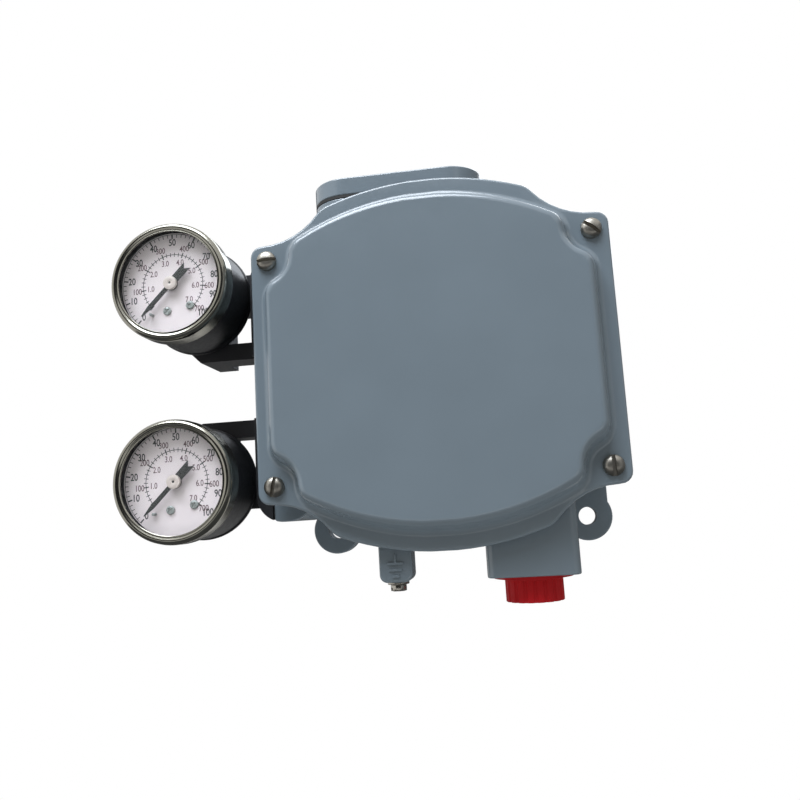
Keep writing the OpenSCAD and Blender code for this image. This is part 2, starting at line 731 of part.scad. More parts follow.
// Follower lever with its roller pin and the stud of the zero wheel
roller_pin_r = 1.5;
roller_y0 = cam_y0 - 0.2;
roller_y1 = collar_y0 + 0.2;
stud_top = wheel_z1 + 3.5;
module follower_lever() {
    color([0.7, 0.68, 0.62]) difference() {
        union() {
            box(-lever_end, lever_x, lever_y0, lever_y1, lever_z - lever_h / 2, seat_z);
            rod_y(lever_x, lever_z, post_r, lever_y0, lever_y1);
            rod_y(0, lever_z, roller_pin_r, lever_y0, roller_y1 + 0.8);
            rod_y(0, lever_z, roller_pin_r + 1, lever_y1 - 1, roller_y0 - free_gap);
            rod_z(-seat_x, mech_y, 5.5, seat_z - 2, seat_z);
            rod_z(-seat_x, mech_y, pin_r, seat_z - 1, stud_top);
        }
        rod_y(lever_x, lever_z, pin_r + run_gap, lever_y0 - 1, lever_y1 + 1);
    }
}
module follower_roller() {
    color([0.75, 0.75, 0.76]) difference() {
        rod_y(0, lever_z, roller_r, roller_y0, roller_y1);
        rod_y(0, lever_z, roller_pin_r + run_gap, roller_y0 - 1, roller_y1 + 1);
    }
}
module zero_wheel() {
    color([0.75, 0.6, 0.3]) difference() {
        rod_z(-seat_x, mech_y, wheel_r, wheel_z0, wheel_z1);
        rod_z(-seat_x, mech_y, pin_r + run_gap, wheel_z0 - 1, wheel_z1 + 1);
        for (i = [0 : 23]) translate([-seat_x, mech_y, wheel_z0 - 1]) rotate([0, 0, 15 * i])
            translate([wheel_r + 0.15, 0, 0]) cylinder(r = 0.5, h = wheel_z1 - wheel_z0 + 2, $fn = 16);
    }
}

// Range spring between the zero wheel and the beam
wire_r = 0.55;
coil_r = 4.2;
coil_turns = 4.5;
coil_n = 18;
wire_n = 8;
spring_z0 = wheel_z1 + 0.02;
spring_z1 = beam_low - free_gap;
function coil_point(t, a) =
    let (turn = 360 * coil_turns * t,
         z = spring_z0 + wire_r + (spring_z1 - spring_z0 - 2 * wire_r) * t,
         r = coil_r + wire_r * cos(a))
    [-seat_x + r * cos(turn), mech_y + r * sin(turn), z + wire_r * sin(a)];
module range_spring() {
    m = coil_turns * coil_n;
    points = [for (i = [0 : m], j = [0 : wire_n - 1]) coil_point(i / m, 360 * j / wire_n)];
    faces = concat(
        [[for (j = [wire_n - 1 : -1 : 0]) j]],
        [for (i = [0 : m - 1], j = [0 : wire_n - 1])
            let (a = i * wire_n + j, b = i * wire_n + (j + 1) % wire_n)
            [a, b, a + wire_n]],
        [for (i = [0 : m - 1], j = [0 : wire_n - 1])
            let (a = i * wire_n + j, b = i * wire_n + (j + 1) % wire_n)
            [b, b + wire_n, a + wire_n]],
        [[for (j = [0 : wire_n - 1]) m * wire_n + j]]);
    color([0.6, 0.6, 0.62]) polyhedron(points, faces);
}

// Balance beam with a fork for the pilot spool
neck_spool_r = 1.5;
fork_w = 2 * neck_spool_r + 2 * free_gap;
beam_end = spool_x + 5;
module balance_beam() {
    color([0.68, 0.67, 0.64]) difference() {
        union() {
            box(-beam_end, beam_x, beam_y0, beam_y1, beam_low, beam_top);
            rod_y(beam_x, beam_z, 4, beam_y0, beam_y1);
        }
        rod_y(beam_x, beam_z, pin_r + run_gap, beam_y0 - 1, beam_y1 + 1);
        box(-beam_end - 1, -spool_x + 3, mech_y - fork_w / 2, mech_y + fork_w / 2,
            beam_low - 1, beam_top + 1);
    }
}
pin_in_y = floor_y + 3;
module headed_pin(x, z, y0) {
    rod_y(x, z, pin_r, y0 - free_gap - pin_head_t, pin_in_y);
    rod_y(x, z, pin_head_r, y0 - free_gap - pin_head_t, y0 - free_gap);
}
module lever_pin() { color([0.7, 0.7, 0.72]) headed_pin(lever_x, lever_z, lever_y0); }
module beam_pin() { color([0.7, 0.7, 0.72]) headed_pin(beam_x, beam_z, beam_y0); }

// Pilot valve
pilot_x0 = -46;
pilot_x1 = -28;
pilot_y0 = mech_y - 8;
pilot_y1 = -15;
pilot_z0 = -24;
pilot_z1 = 30;
spool_r = 3;
pilot_screw_x = -42.4;
pilot_screw_z = [-19, 25];
pilot_screw_r = 1.6;
pilot_post_r = 3.4;
module pilot_body() {
    color([0.62, 0.63, 0.64]) difference() {
        box(pilot_x0, pilot_x1, pilot_y0, pilot_y1, pilot_z0, pilot_z1);
        rod_z(-spool_x, mech_y, spool_r + run_gap, pilot_z0 - 1, pilot_z1 + 1);
        for (z = pilot_screw_z) rod_y(pilot_screw_x, z, pilot_screw_r + slip_gap, pilot_y0 - 1, pilot_y1 + 1);
    }
}
module pilot_screws() {
    color([0.5, 0.5, 0.5]) for (z = pilot_screw_z) translate([pilot_screw_x, pilot_y0, z]) rotate([90, 0, 0])
        socket_screw(3, 3, pilot_screw_r, pilot_y1 - pilot_y0 + 6);
}
module pilot_spool() {
    color([0.74, 0.74, 0.76]) {
        rod_z(-spool_x, mech_y, spool_r * 0.6, pilot_z0 + 2, pilot_z1 + 1);
        for (z = [pilot_z0 + 2, -8, 8, pilot_z1 - 8]) rod_z(-spool_x, mech_y, spool_r, z, z + 7);
        rod_z(-spool_x, mech_y, neck_spool_r, pilot_z1, beam_top + free_gap + 1);
        rod_z(-spool_x, mech_y, 2.6, beam_low - free_gap - 2, beam_low - free_gap);
        rod_z(-spool_x, mech_y, 2.6, beam_top + free_gap, beam_top + free_gap + 2);
    }
}

// Current-to-pressure converter and terminals
ip_x = 38;
ip_y = -30;
ip_r = 13;
ip_z0 = -22;
ip_z1 = 9;
ip_step = 3;
ip_foot_w = 18;
ip_foot_in = 5;
module ip_converter() {
    color([0.16, 0.17, 0.18]) {
        rod_z(ip_x, ip_y, ip_r, ip_z0, ip_z1);
        rod_z(ip_x, ip_y, ip_r - ip_step, ip_z0 - ip_step, ip_z0);
        box(ip_x - ip_foot_w / 2, ip_x + ip_foot_w / 2, ip_y, floor_y,
            ip_z0 + ip_foot_in, ip_z1 - ip_foot_in - 1);
    }
}
terminal_pitch = 10;
terminal_x = [for (i = [1 : 3]) i * terminal_pitch];
terminal_z = -38;
terminal_y0 = -30;
terminal_r = 1.6;
terminal_end = 6;
terminal_up = 5;
terminal_down = 6;
terminal_screw_l = 7;
wire_hole_r = 1.4;
wire_hole_in = 4;
module terminal_block() {
    color([0.2, 0.32, 0.24]) difference() {
        box(terminal_x[0] - terminal_end, terminal_x[2] + terminal_end, terminal_y0, floor_y,
            terminal_z - terminal_down, terminal_z + terminal_up);
        for (x = terminal_x) {
            rod_y(x, terminal_z, terminal_r + slip_gap, terminal_y0 - 1, terminal_y0 + terminal_screw_l + 1);
            rod_z(x, terminal_y0 + terminal_up, wire_hole_r, terminal_z - terminal_down - 1,
                terminal_z - terminal_down + wire_hole_in);
        }
    }
}
module terminal_screws() {
    color([0.7, 0.7, 0.7]) for (x = terminal_x) translate([x, terminal_y0, terminal_z]) rotate([90, 0, 0])
        slotted_screw(3, 1.8, terminal_r, terminal_screw_l);
}

// Earth screw and washer under the earth boss
earth_d = 10.5;
earth_y = rim_y + 0.2 + earth_d / 2;
earth_corner = 2.6;
earth_washer_r = 3.7;
earth_screw_r = 1.5;
earth_screw_l = 9;
earth_washer_t = 0.9;
module ground_washer() {
    color([0.7, 0.69, 0.66]) difference() {
        rod_z(-earth_x, earth_y, earth_washer_r, -earth_drop - earth_washer_t, -earth_drop);
        rod_z(-earth_x, earth_y, earth_screw_r + slip_gap, -earth_drop - 2, -earth_drop + 1);
    }
}
module ground_screw() {
    color([0.72, 0.71, 0.68])
        translate([-earth_x, earth_y, -earth_drop - earth_washer_t])
            rotate([180, 0, 30])
                slotted_screw(2.7, 2.2, earth_screw_r, earth_screw_l + earth_washer_t);
}

// Vent in the back wall
vent_x = -12;
vent_z = -41;
vent_r = 5;
module vent_plug() {
    color([0.7, 0.55, 0.3]) difference() {
        union() {
            rod_y(vent_x, vent_z, vent_r, floor_y, -pad_rise);
            rod_y(vent_x, vent_z, vent_r + 1.8, -pad_rise, -0.6);
        }
        rod_y(vent_x, vent_z, 2, floor_y - 1, 1);
    }
}

// Red closing plug in the conduit entry
hub_y = rim_y + 0.2 + hub_w / 2;
plug_flange_r = 13.6;
plug_flange_t = 1.1;
plug_grip_r = 9.9;
plug_grip_h = 7.9;
plug_shank_r = conduit_r - slip_gap;
plug_shank_h = 14;
flutes = 18;
flute_stop = 0.7;
flute_r = 0.9;
module conduit_plug() {
    flange_low = -hub_drop - plug_flange_t;
    grip_low = flange_low - plug_grip_h;
    color([0.62, 0.07, 0.1]) difference() {
        union() {
            rod_z(hub_x, hub_y, plug_shank_r, -hub_drop, -hub_drop + plug_shank_h);
            rod_z(hub_x, hub_y, plug_flange_r, flange_low, -hub_drop);
            rod_z(hub_x, hub_y, plug_grip_r, grip_low, flange_low);
        }
        rod_z(hub_x, hub_y, plug_shank_r - 1.8, grip_low + 2, -hub_drop + plug_shank_h + 1);
        for (i = [0 : flutes - 1]) translate([hub_x, hub_y, 0]) rotate([0, 0, (i + 0.5) * 360 / flutes])
            rod_z(plug_grip_r + flute_r / 2, 0, flute_r, grip_low - 1, flange_low - flute_stop);
    }
}

// Housing
hub_top = 45;
hub_corner = 3;
cap_pad_low = 42;
mount_boss_r = 6;
mount_boss_y = -14;
mount_hole_d = 12;
lever_post_y = lever_y1 + free_gap;
beam_post_y = beam_y1 + free_gap;
module lug_outline(x) {
    translate([x, -lug_drop]) circle(lug_r);
    translate([x - lug_r + 1.4, -lug_drop]) square([2 * lug_r - 2.8, lug_drop - ear_z + 8]);
}
module castings() {
    slab(rim_y, rim_y + rim_d) flange_outline(-0.6);
    slab(rim_y, -pad_rise) flange_outline(-body_inset);
    slab(-2 * pad_rise, 0) rounded_rect(pad_size, pad_size, 8);
    for (s = [-1, 1]) slab(-lug_t, 0) lug_outline(lug_shift + s * lug_pitch / 2);
    slab(plate_y0, plate_y1 + 10) port_side_outline(-pad_x, -port_pad_in);
    translate([0, 0, cap_pad_low]) linear_extrude(cap_seat_z - cap_pad_low) cap_outline();
    translate([hub_x, hub_y, -hub_drop]) linear_extrude(hub_drop - hub_top)
        rounded_rect(hub_w, hub_w, hub_corner);
    slab(earth_y - earth_d / 2, earth_y + earth_d / 2) translate([-earth_x, -(earth_drop + hub_top) / 2])
        rounded_rect(earth_w, earth_drop - hub_top, earth_corner);
}
module at_mount_holes() {
    for (sx = [-1, 1], sz = [-1, 1]) translate([sx * mount_pitch / 2, 0, sz * mount_pitch / 2]) children();
}
module posts() {
    rod_y(0, 0, shaft_boss_r, bush_y0, floor_y + 1);
    rod_y(lever_x, lever_z, post_r, lever_post_y, floor_y + 1);
    rod_y(beam_x, beam_z, 4.4, beam_post_y, floor_y + 1);
    for (z = pilot_screw_z) rod_y(pilot_screw_x, z, pilot_post_r, pilot_y1, floor_y + 1);
    at_mount_holes() rod_y(0, 0, mount_boss_r, mount_boss_y, floor_y + 1);
}
module block_screw_holes() {
    for (z = block_screw_z)
        rod_x(block_screw_y, z, block_screw_r + slip_gap, -pad_x - 1, -plate_x + block_screw_l + 1);
}
module housing() {
    color([0.43, 0.48, 0.51]) difference() {
        union() {
            difference() {
                castings();
                slab(rim_y - 1, floor_y) panel_outline(cavity_step);
            }
            posts();
        }
        slab(rim_y - 1, rim_y + groove_d) groove_outline(groove_in, groove_out);
        at_cover_screws() rod_y(0, 0, screw_r + slip_gap, rim_y - 1, rim_y + screw_grip + 1);
        rod_y(0, 0, bush_r + slip_gap, bush_y0 - 1, 1);
        rod_y(0, 0, seal_r + slip_gap, -seal_t, 1);
        rod_y(lever_x, lever_z, pin_r + slip_gap, lever_post_y - 1, pin_in_y + slip_gap);
        rod_y(beam_x, beam_z, pin_r + slip_gap, beam_post_y - 1, pin_in_y + slip_gap);
        for (z = pilot_screw_z) rod_y(pilot_screw_x, z, pilot_screw_r + slip_gap, pilot_y1 - 1, pilot_y1 + 7);
        at_mount_holes() rod_y(0, 0, mount_hole_r, -mount_hole_d, 1);
        for (s = [-1, 1]) rod_y(lug_shift + s * lug_pitch / 2, -lug_drop, lug_hole_r, -lug_t - 1, 1);
        rod_z(hub_x, hub_y, conduit_r, -hub_drop - 1, -hub_top + 4);
        rod_z(-earth_x, earth_y, earth_screw_r + slip_gap, -earth_drop - 1, -earth_drop + earth_screw_l + 1);
        rod_z(-cap_x, cap_y, chamber_r, cap_seat_z - chamber_d, cap_seat_z + 1);
        rod_z(-cap_x, cap_y, stem_r + run_gap, cap_seat_z - 20, cap_seat_z + 1);
        at_cap_screws() rod_z(0, 0, cap_screw_r + slip_gap, cap_seat_z - cap_screw_grip - 1, cap_seat_z + 1);
        block_screw_holes();
        lower() block_screw_holes();
        rod_y(vent_x, vent_z, vent_r + slip_gap, floor_y - 1, 1);
    }
}

housing();
cover_gasket();
front_cover();
cover_screws();
output_block();
supply_block();
block_gaskets();
block_screws();
upper_gauge_socket();
upper_gauge_case();
upper_gauge_bezel();
upper_gauge_lens();
upper_gauge_dial();
upper_dial_screws();
upper_gauge_movement();
upper_gauge_tube();
upper_pointer();
lower_gauge_socket();
lower_gauge_case();
lower_gauge_bezel();
lower_gauge_lens();
lower_gauge_dial();
lower_dial_screws();
lower_gauge_movement();
lower_gauge_tube();
lower_pointer();
top_cap();
signal_diaphragm();
top_cap_screws();
diaphragm_stem();
shaft_bush();
shaft_seal();
feedback_shaft();
shaft_clip();
cam();
cam_nut();
follower_lever();
follower_roller();
zero_wheel();
range_spring();
balance_beam();
lever_pin();
beam_pin();
pilot_body();
pilot_screws();
pilot_spool();
ip_converter();
terminal_block();
terminal_screws();
ground_washer();
ground_screw();
vent_plug();
conduit_plug();
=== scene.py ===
"""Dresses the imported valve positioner: painted castings, two dial gauges, fasteners and a studio."""

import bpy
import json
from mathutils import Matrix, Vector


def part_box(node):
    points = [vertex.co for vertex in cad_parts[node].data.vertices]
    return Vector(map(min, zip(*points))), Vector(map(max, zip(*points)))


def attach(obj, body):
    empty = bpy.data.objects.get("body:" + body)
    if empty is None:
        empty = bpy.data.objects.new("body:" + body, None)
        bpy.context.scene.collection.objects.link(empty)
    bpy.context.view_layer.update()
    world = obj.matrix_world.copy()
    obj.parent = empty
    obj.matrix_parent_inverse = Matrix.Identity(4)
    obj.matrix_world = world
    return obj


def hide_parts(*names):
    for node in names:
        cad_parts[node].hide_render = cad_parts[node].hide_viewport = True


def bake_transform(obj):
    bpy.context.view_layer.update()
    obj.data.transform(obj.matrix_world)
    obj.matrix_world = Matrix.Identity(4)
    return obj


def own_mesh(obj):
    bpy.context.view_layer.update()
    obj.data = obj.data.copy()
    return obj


bl_info = {
    "name": "Valve Positioner",
    "version": (1, 0, 0),
    "blender": (4, 5, 0),
    "location": "3D View > Sidebar > Positioner",
    "description": "Builds the looks of a valve positioner around its packed CAD frame",
    "category": "Add Mesh",
}

import json
import math

import bmesh
import bpy
from bpy.props import FloatProperty, FloatVectorProperty, IntProperty, PointerProperty
from mathutils import Euler, Matrix, Vector

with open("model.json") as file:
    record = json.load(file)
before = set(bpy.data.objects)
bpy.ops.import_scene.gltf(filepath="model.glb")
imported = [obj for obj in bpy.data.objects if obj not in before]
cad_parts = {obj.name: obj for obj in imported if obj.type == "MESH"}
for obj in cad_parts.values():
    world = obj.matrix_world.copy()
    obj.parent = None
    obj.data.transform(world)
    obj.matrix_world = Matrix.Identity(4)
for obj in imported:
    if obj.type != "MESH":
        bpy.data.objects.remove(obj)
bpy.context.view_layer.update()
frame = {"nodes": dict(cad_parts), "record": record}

MM = 0.001
# Points nearer than these are one point: in a CAD copy, and in a shape made here.
CAD_JOIN = 2e-7
JOIN = 1e-7
# Turns of the surface: below the first a seam is flat, above the second an edge is rounded.
FLAT_TURN = math.radians(0.3)
EDGE_TURN = math.radians(38)
# The wall of a drilled hole turns by an angle in this range, between facets narrower than this.
HOLE_TURNS = (math.radians(1), math.radians(30))
HOLE_FACET = 1.6 * MM
SLOT_OF = {part["node"]: part["material_slot"] for part in frame["record"]["subparts"]}
BODY_OF = {
    node: body
    for body, nodes in frame["record"]["behaviour"]["bodies"].items()
    for node in nodes
}
# The two gauges, the front of their dials, and the angle of zero, counter-clockwise from the right
GAUGE_SIDES = ("upper", "lower")
DIAL_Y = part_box("upper_gauge_dial")[0][1]
ZERO_ANGLE = math.radians(225)


def linear(code):
    """An sRGB hex code as linear red, green and blue."""
    parts = [int(code[i:i + 2], 16) / 255 for i in (1, 3, 5)]
    return tuple(c / 12.92 if c <= 0.04045 else ((c + 0.055) / 1.055) ** 2.4 for c in parts)


def rgba(code):
    """The same with full alpha, as colour sockets take it."""
    return (*linear(code), 1.0)


def centre_of(node):
    """Middle of a CAD node's box."""
    low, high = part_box(node)
    return (Vector(low) + Vector(high)) / 2


class PositionerSizes(bpy.types.PropertyGroup):
    """Sizes of the finish that the CAD frame leaves open."""

    casting_round: FloatProperty(
        name="Casting edge", description="Radius of the edges of the painted castings",
        default=0.6 * MM, min=0.2 * MM, max=1.2 * MM, unit="LENGTH")
    machined_round: FloatProperty(
        name="Machined edge", description="Size of the broken edges on machined pieces",
        default=0.25 * MM, min=0.05 * MM, max=0.5 * MM, unit="LENGTH")
    figure_height: FloatProperty(
        name="Dial figures", description="Height of the black figures on the gauge dials",
        default=2.2 * MM, min=1.5 * MM, max=3 * MM, unit="LENGTH")
    slot_width: FloatProperty(
        name="Screw slot", description="Width of the slots in the cover screws",
        default=1.25 * MM, min=0.6 * MM, max=1.4 * MM, unit="LENGTH")
    print_height: FloatProperty(
        name="Print", description="Height of the printed marks above the dial",
        default=0.02 * MM, min=0.01 * MM, max=0.1 * MM, unit="LENGTH")
    sweep: FloatProperty(
        name="Scale sweep", description="Angle from zero to full scale on a dial",
        default=math.radians(270), min=math.radians(180), max=math.radians(300), subtype="ANGLE")
    divisions: IntProperty(
        name="Divisions", description="Fine divisions on the outer scale of a dial",
        default=50, min=10, max=100)


class PositionerColours(bpy.types.PropertyGroup):
    """Colours of the finishes."""

    paint: FloatVectorProperty(
        name="Casting paint", description="Grey of the painted castings",
        default=linear("#727F88"), size=3, min=0, max=1, subtype="COLOR")
    plug: FloatVectorProperty(
        name="Conduit plug", description="Red of the plastic closing plug",
        default=linear("#B8131B"), size=3, min=0, max=1, subtype="COLOR")
    dial: FloatVectorProperty(
        name="Dial", description="White of the gauge dials",
        default=linear("#DDCED1"), size=3, min=0, max=1, subtype="COLOR")
    scale_ink: FloatVectorProperty(
        name="Outer scale", description="Ink of the outer scale",
        default=linear("#1C181B"), size=3, min=0, max=1, subtype="COLOR")
    inner_ink: FloatVectorProperty(
        name="Inner scale", description="Ink of the inner scale's figures",
        default=linear("#4C2633"), size=3, min=0, max=1, subtype="COLOR")


def add(tree, kind, settings=None, sockets=None):
    """Adds a node: settings go to its attributes, sockets to its inputs as values or links."""
    node = tree.nodes.new(kind)
    for key, value in (settings or {}).items():
        setattr(node, key, value)
    for key, value in (sockets or {}).items():
        if isinstance(value, bpy.types.NodeSocket):
            tree.links.new(value, node.inputs[key])
        else:
            node.inputs[key].default_value = value
    return node


def new_finish(name):
    """An empty material with its shader, and the piece's own coordinates."""
    material = bpy.data.materials.new(name)
    material.use_nodes = True
    tree = material.node_tree
    shader = tree.nodes["Principled BSDF"]
    place = add(tree, "ShaderNodeTexCoord").outputs["Object"]
    return material, tree, shader, place


def grained(name, low, high, patch, grain, rough, relief, metal=0.0, stretch=(1, 1, 1), **shader_values):
    """A solid finish: colour drifts over `patch` mm, roughness and relief vary over `grain` mm."""
    material, tree, shader, place = new_finish(name)
    place = add(tree, "ShaderNodeMapping", sockets={"Vector": place, "Scale": stretch}).outputs[0]
    drift = add(tree, "ShaderNodeTexNoise", sockets={
        "Vector": place, "Scale": 1 / (patch * MM), "Detail": 3.0, "Roughness": 0.55})
    tint = add(tree, "ShaderNodeMix", {"data_type": "RGBA"}, {
        0: drift.outputs["Fac"], 6: (*low, 1.0), 7: (*high, 1.0)})
    fine = add(tree, "ShaderNodeTexNoise", sockets={
        "Vector": place, "Scale": 1 / (grain * MM), "Detail": 4.0, "Roughness": 0.6})
    gloss = add(tree, "ShaderNodeMapRange", sockets={
        "Value": fine.outputs["Fac"], "From Min": 0.3, "From Max": 0.7,
        "To Min": rough[0], "To Max": rough[1]})
    bump = add(tree, "ShaderNodeBump", sockets={
        "Height": fine.outputs["Fac"], "Distance": relief * MM, "Strength": 1.0})
    tree.links.new(tint.outputs[2], shader.inputs["Base Color"])
    tree.links.new(gloss.outputs[0], shader.inputs["Roughness"])
    tree.links.new(bump.outputs[0], shader.inputs["Normal"])
    shader.inputs["Metallic"].default_value = metal
    for socket, value in shader_values.items():
        shader.inputs[socket.replace("_", " ").title().replace("Ior", "IOR")].default_value = value
    return material


def shade(colour, share):
    """A colour made darker or lighter by a share."""
    return tuple(min(1.0, c * share) for c in colour)


def casting_paint(colours):
    """Semi-gloss grey paint sprayed on cast aluminium."""
    # The spray leaves orange peel about 1.6 mm across, over slow swells of the casting skin below.
    material, tree, shader, place = new_finish("semi_gloss_paint_on_cast_aluminium")
    cloud = add(tree, "ShaderNodeTexNoise", sockets={
        "Vector": place, "Scale": 1 / (26 * MM), "Detail": 3.0, "Roughness": 0.5})
    tint = add(tree, "ShaderNodeMix", {"data_type": "RGBA"}, {
        0: cloud.outputs["Fac"], 6: (*shade(colours.paint, 0.93), 1.0), 7: (*shade(colours.paint, 1.07), 1.0)})
    peel = add(tree, "ShaderNodeTexNoise", sockets={
        "Vector": place, "Scale": 1 / (1.6 * MM), "Detail": 1.0, "Roughness": 0.3})
    swell = add(tree, "ShaderNodeTexNoise", sockets={
        "Vector": place, "Scale": 1 / (18 * MM), "Detail": 1.0})
    gloss = add(tree, "ShaderNodeMapRange", sockets={
        "Value": peel.outputs["Fac"], "From Min": 0.3, "From Max": 0.7, "To Min": 0.2, "To Max": 0.27})
    low_bump = add(tree, "ShaderNodeBump", sockets={
        "Height": swell.outputs["Fac"], "Distance": 0.12 * MM, "Strength": 1.0})
    fine_bump = add(tree, "ShaderNodeBump", sockets={
        "Height": peel.outputs["Fac"], "Distance": 0.004 * MM, "Strength": 1.0,
        "Normal": low_bump.outputs[0]})
    tree.links.new(tint.outputs[2], shader.inputs["Base Color"])
    tree.links.new(gloss.outputs[0], shader.inputs["Roughness"])
    tree.links.new(fine_bump.outputs[0], shader.inputs["Normal"])
    shader.inputs["IOR"].default_value = 1.5
    shader.inputs["Coat Weight"].default_value = 0.4
    shader.inputs["Coat Roughness"].default_value = 0.07
    return material


def spun_steel(name, axis_at):
    """Polished stainless steel that was spun on a lathe, so that fine lines run round its axis."""
    # The lines would be a few hundredths of a millimetre apart; they are drawn at 0.25 mm to show.
    material, tree, shader, place = new_finish(name)
    centred = add(tree, "ShaderNodeMapping", {"vector_type": "POINT"}, {
        "Vector": place, "Location": tuple(-axis_at)}).outputs[0]
    rings = add(tree, "ShaderNodeTexWave", {
        "wave_type": "RINGS", "rings_direction": "Y", "wave_profile": "SIN"}, {
        "Vector": centred, "Scale": 2 * math.pi / (20 * 0.25 * MM), "Distortion": 0.6,
        "Detail": 2.0, "Detail Scale": 0.02})
    cloud = add(tree, "ShaderNodeTexNoise", sockets={"Vector": place, "Scale": 1 / (7 * MM), "Detail": 3.0})
    tint = add(tree, "ShaderNodeMix", {"data_type": "RGBA"}, {
        0: cloud.outputs["Fac"], 6: rgba("#86847A"), 7: rgba("#9C9A90")})
    gloss = add(tree, "ShaderNodeMapRange", sockets={
        "Value": rings.outputs["Fac"], "To Min": 0.12, "To Max": 0.2})
    bump = add(tree, "ShaderNodeBump", sockets={
        "Height": rings.outputs["Fac"], "Distance": 0.002 * MM, "Strength": 1.0})
    tree.links.new(tint.outputs[2], shader.inputs["Base Color"])
    tree.links.new(gloss.outputs[0], shader.inputs["Roughness"])
    tree.links.new(bump.outputs[0], shader.inputs["Normal"])
    shader.inputs["Metallic"].default_value = 1.0
    return material


def window_glass():
    """Flat window glass of a gauge, with a faint green body and hardly any dust."""
    material, tree, shader, place = new_finish("gauge_window_glass")
    dust = add(tree, "ShaderNodeTexNoise", sockets={"Vector": place, "Scale": 1 / (3 * MM), "Detail": 5.0})
    film = add(tree, "ShaderNodeMapRange", sockets={
        "Value": dust.outputs["Fac"], "From Min": 0.45, "From Max": 0.8, "To Min": 0.0, "To Max": 0.05})
    tree.links.new(film.outputs[0], shader.inputs["Roughness"])
    shader.inputs["Base Color"].default_value = rgba("#F6FAF8")
    shader.inputs["Transmission Weight"].default_value = 1.0
    shader.inputs["IOR"].default_value = 1.46
    return material


FINISHES = {}


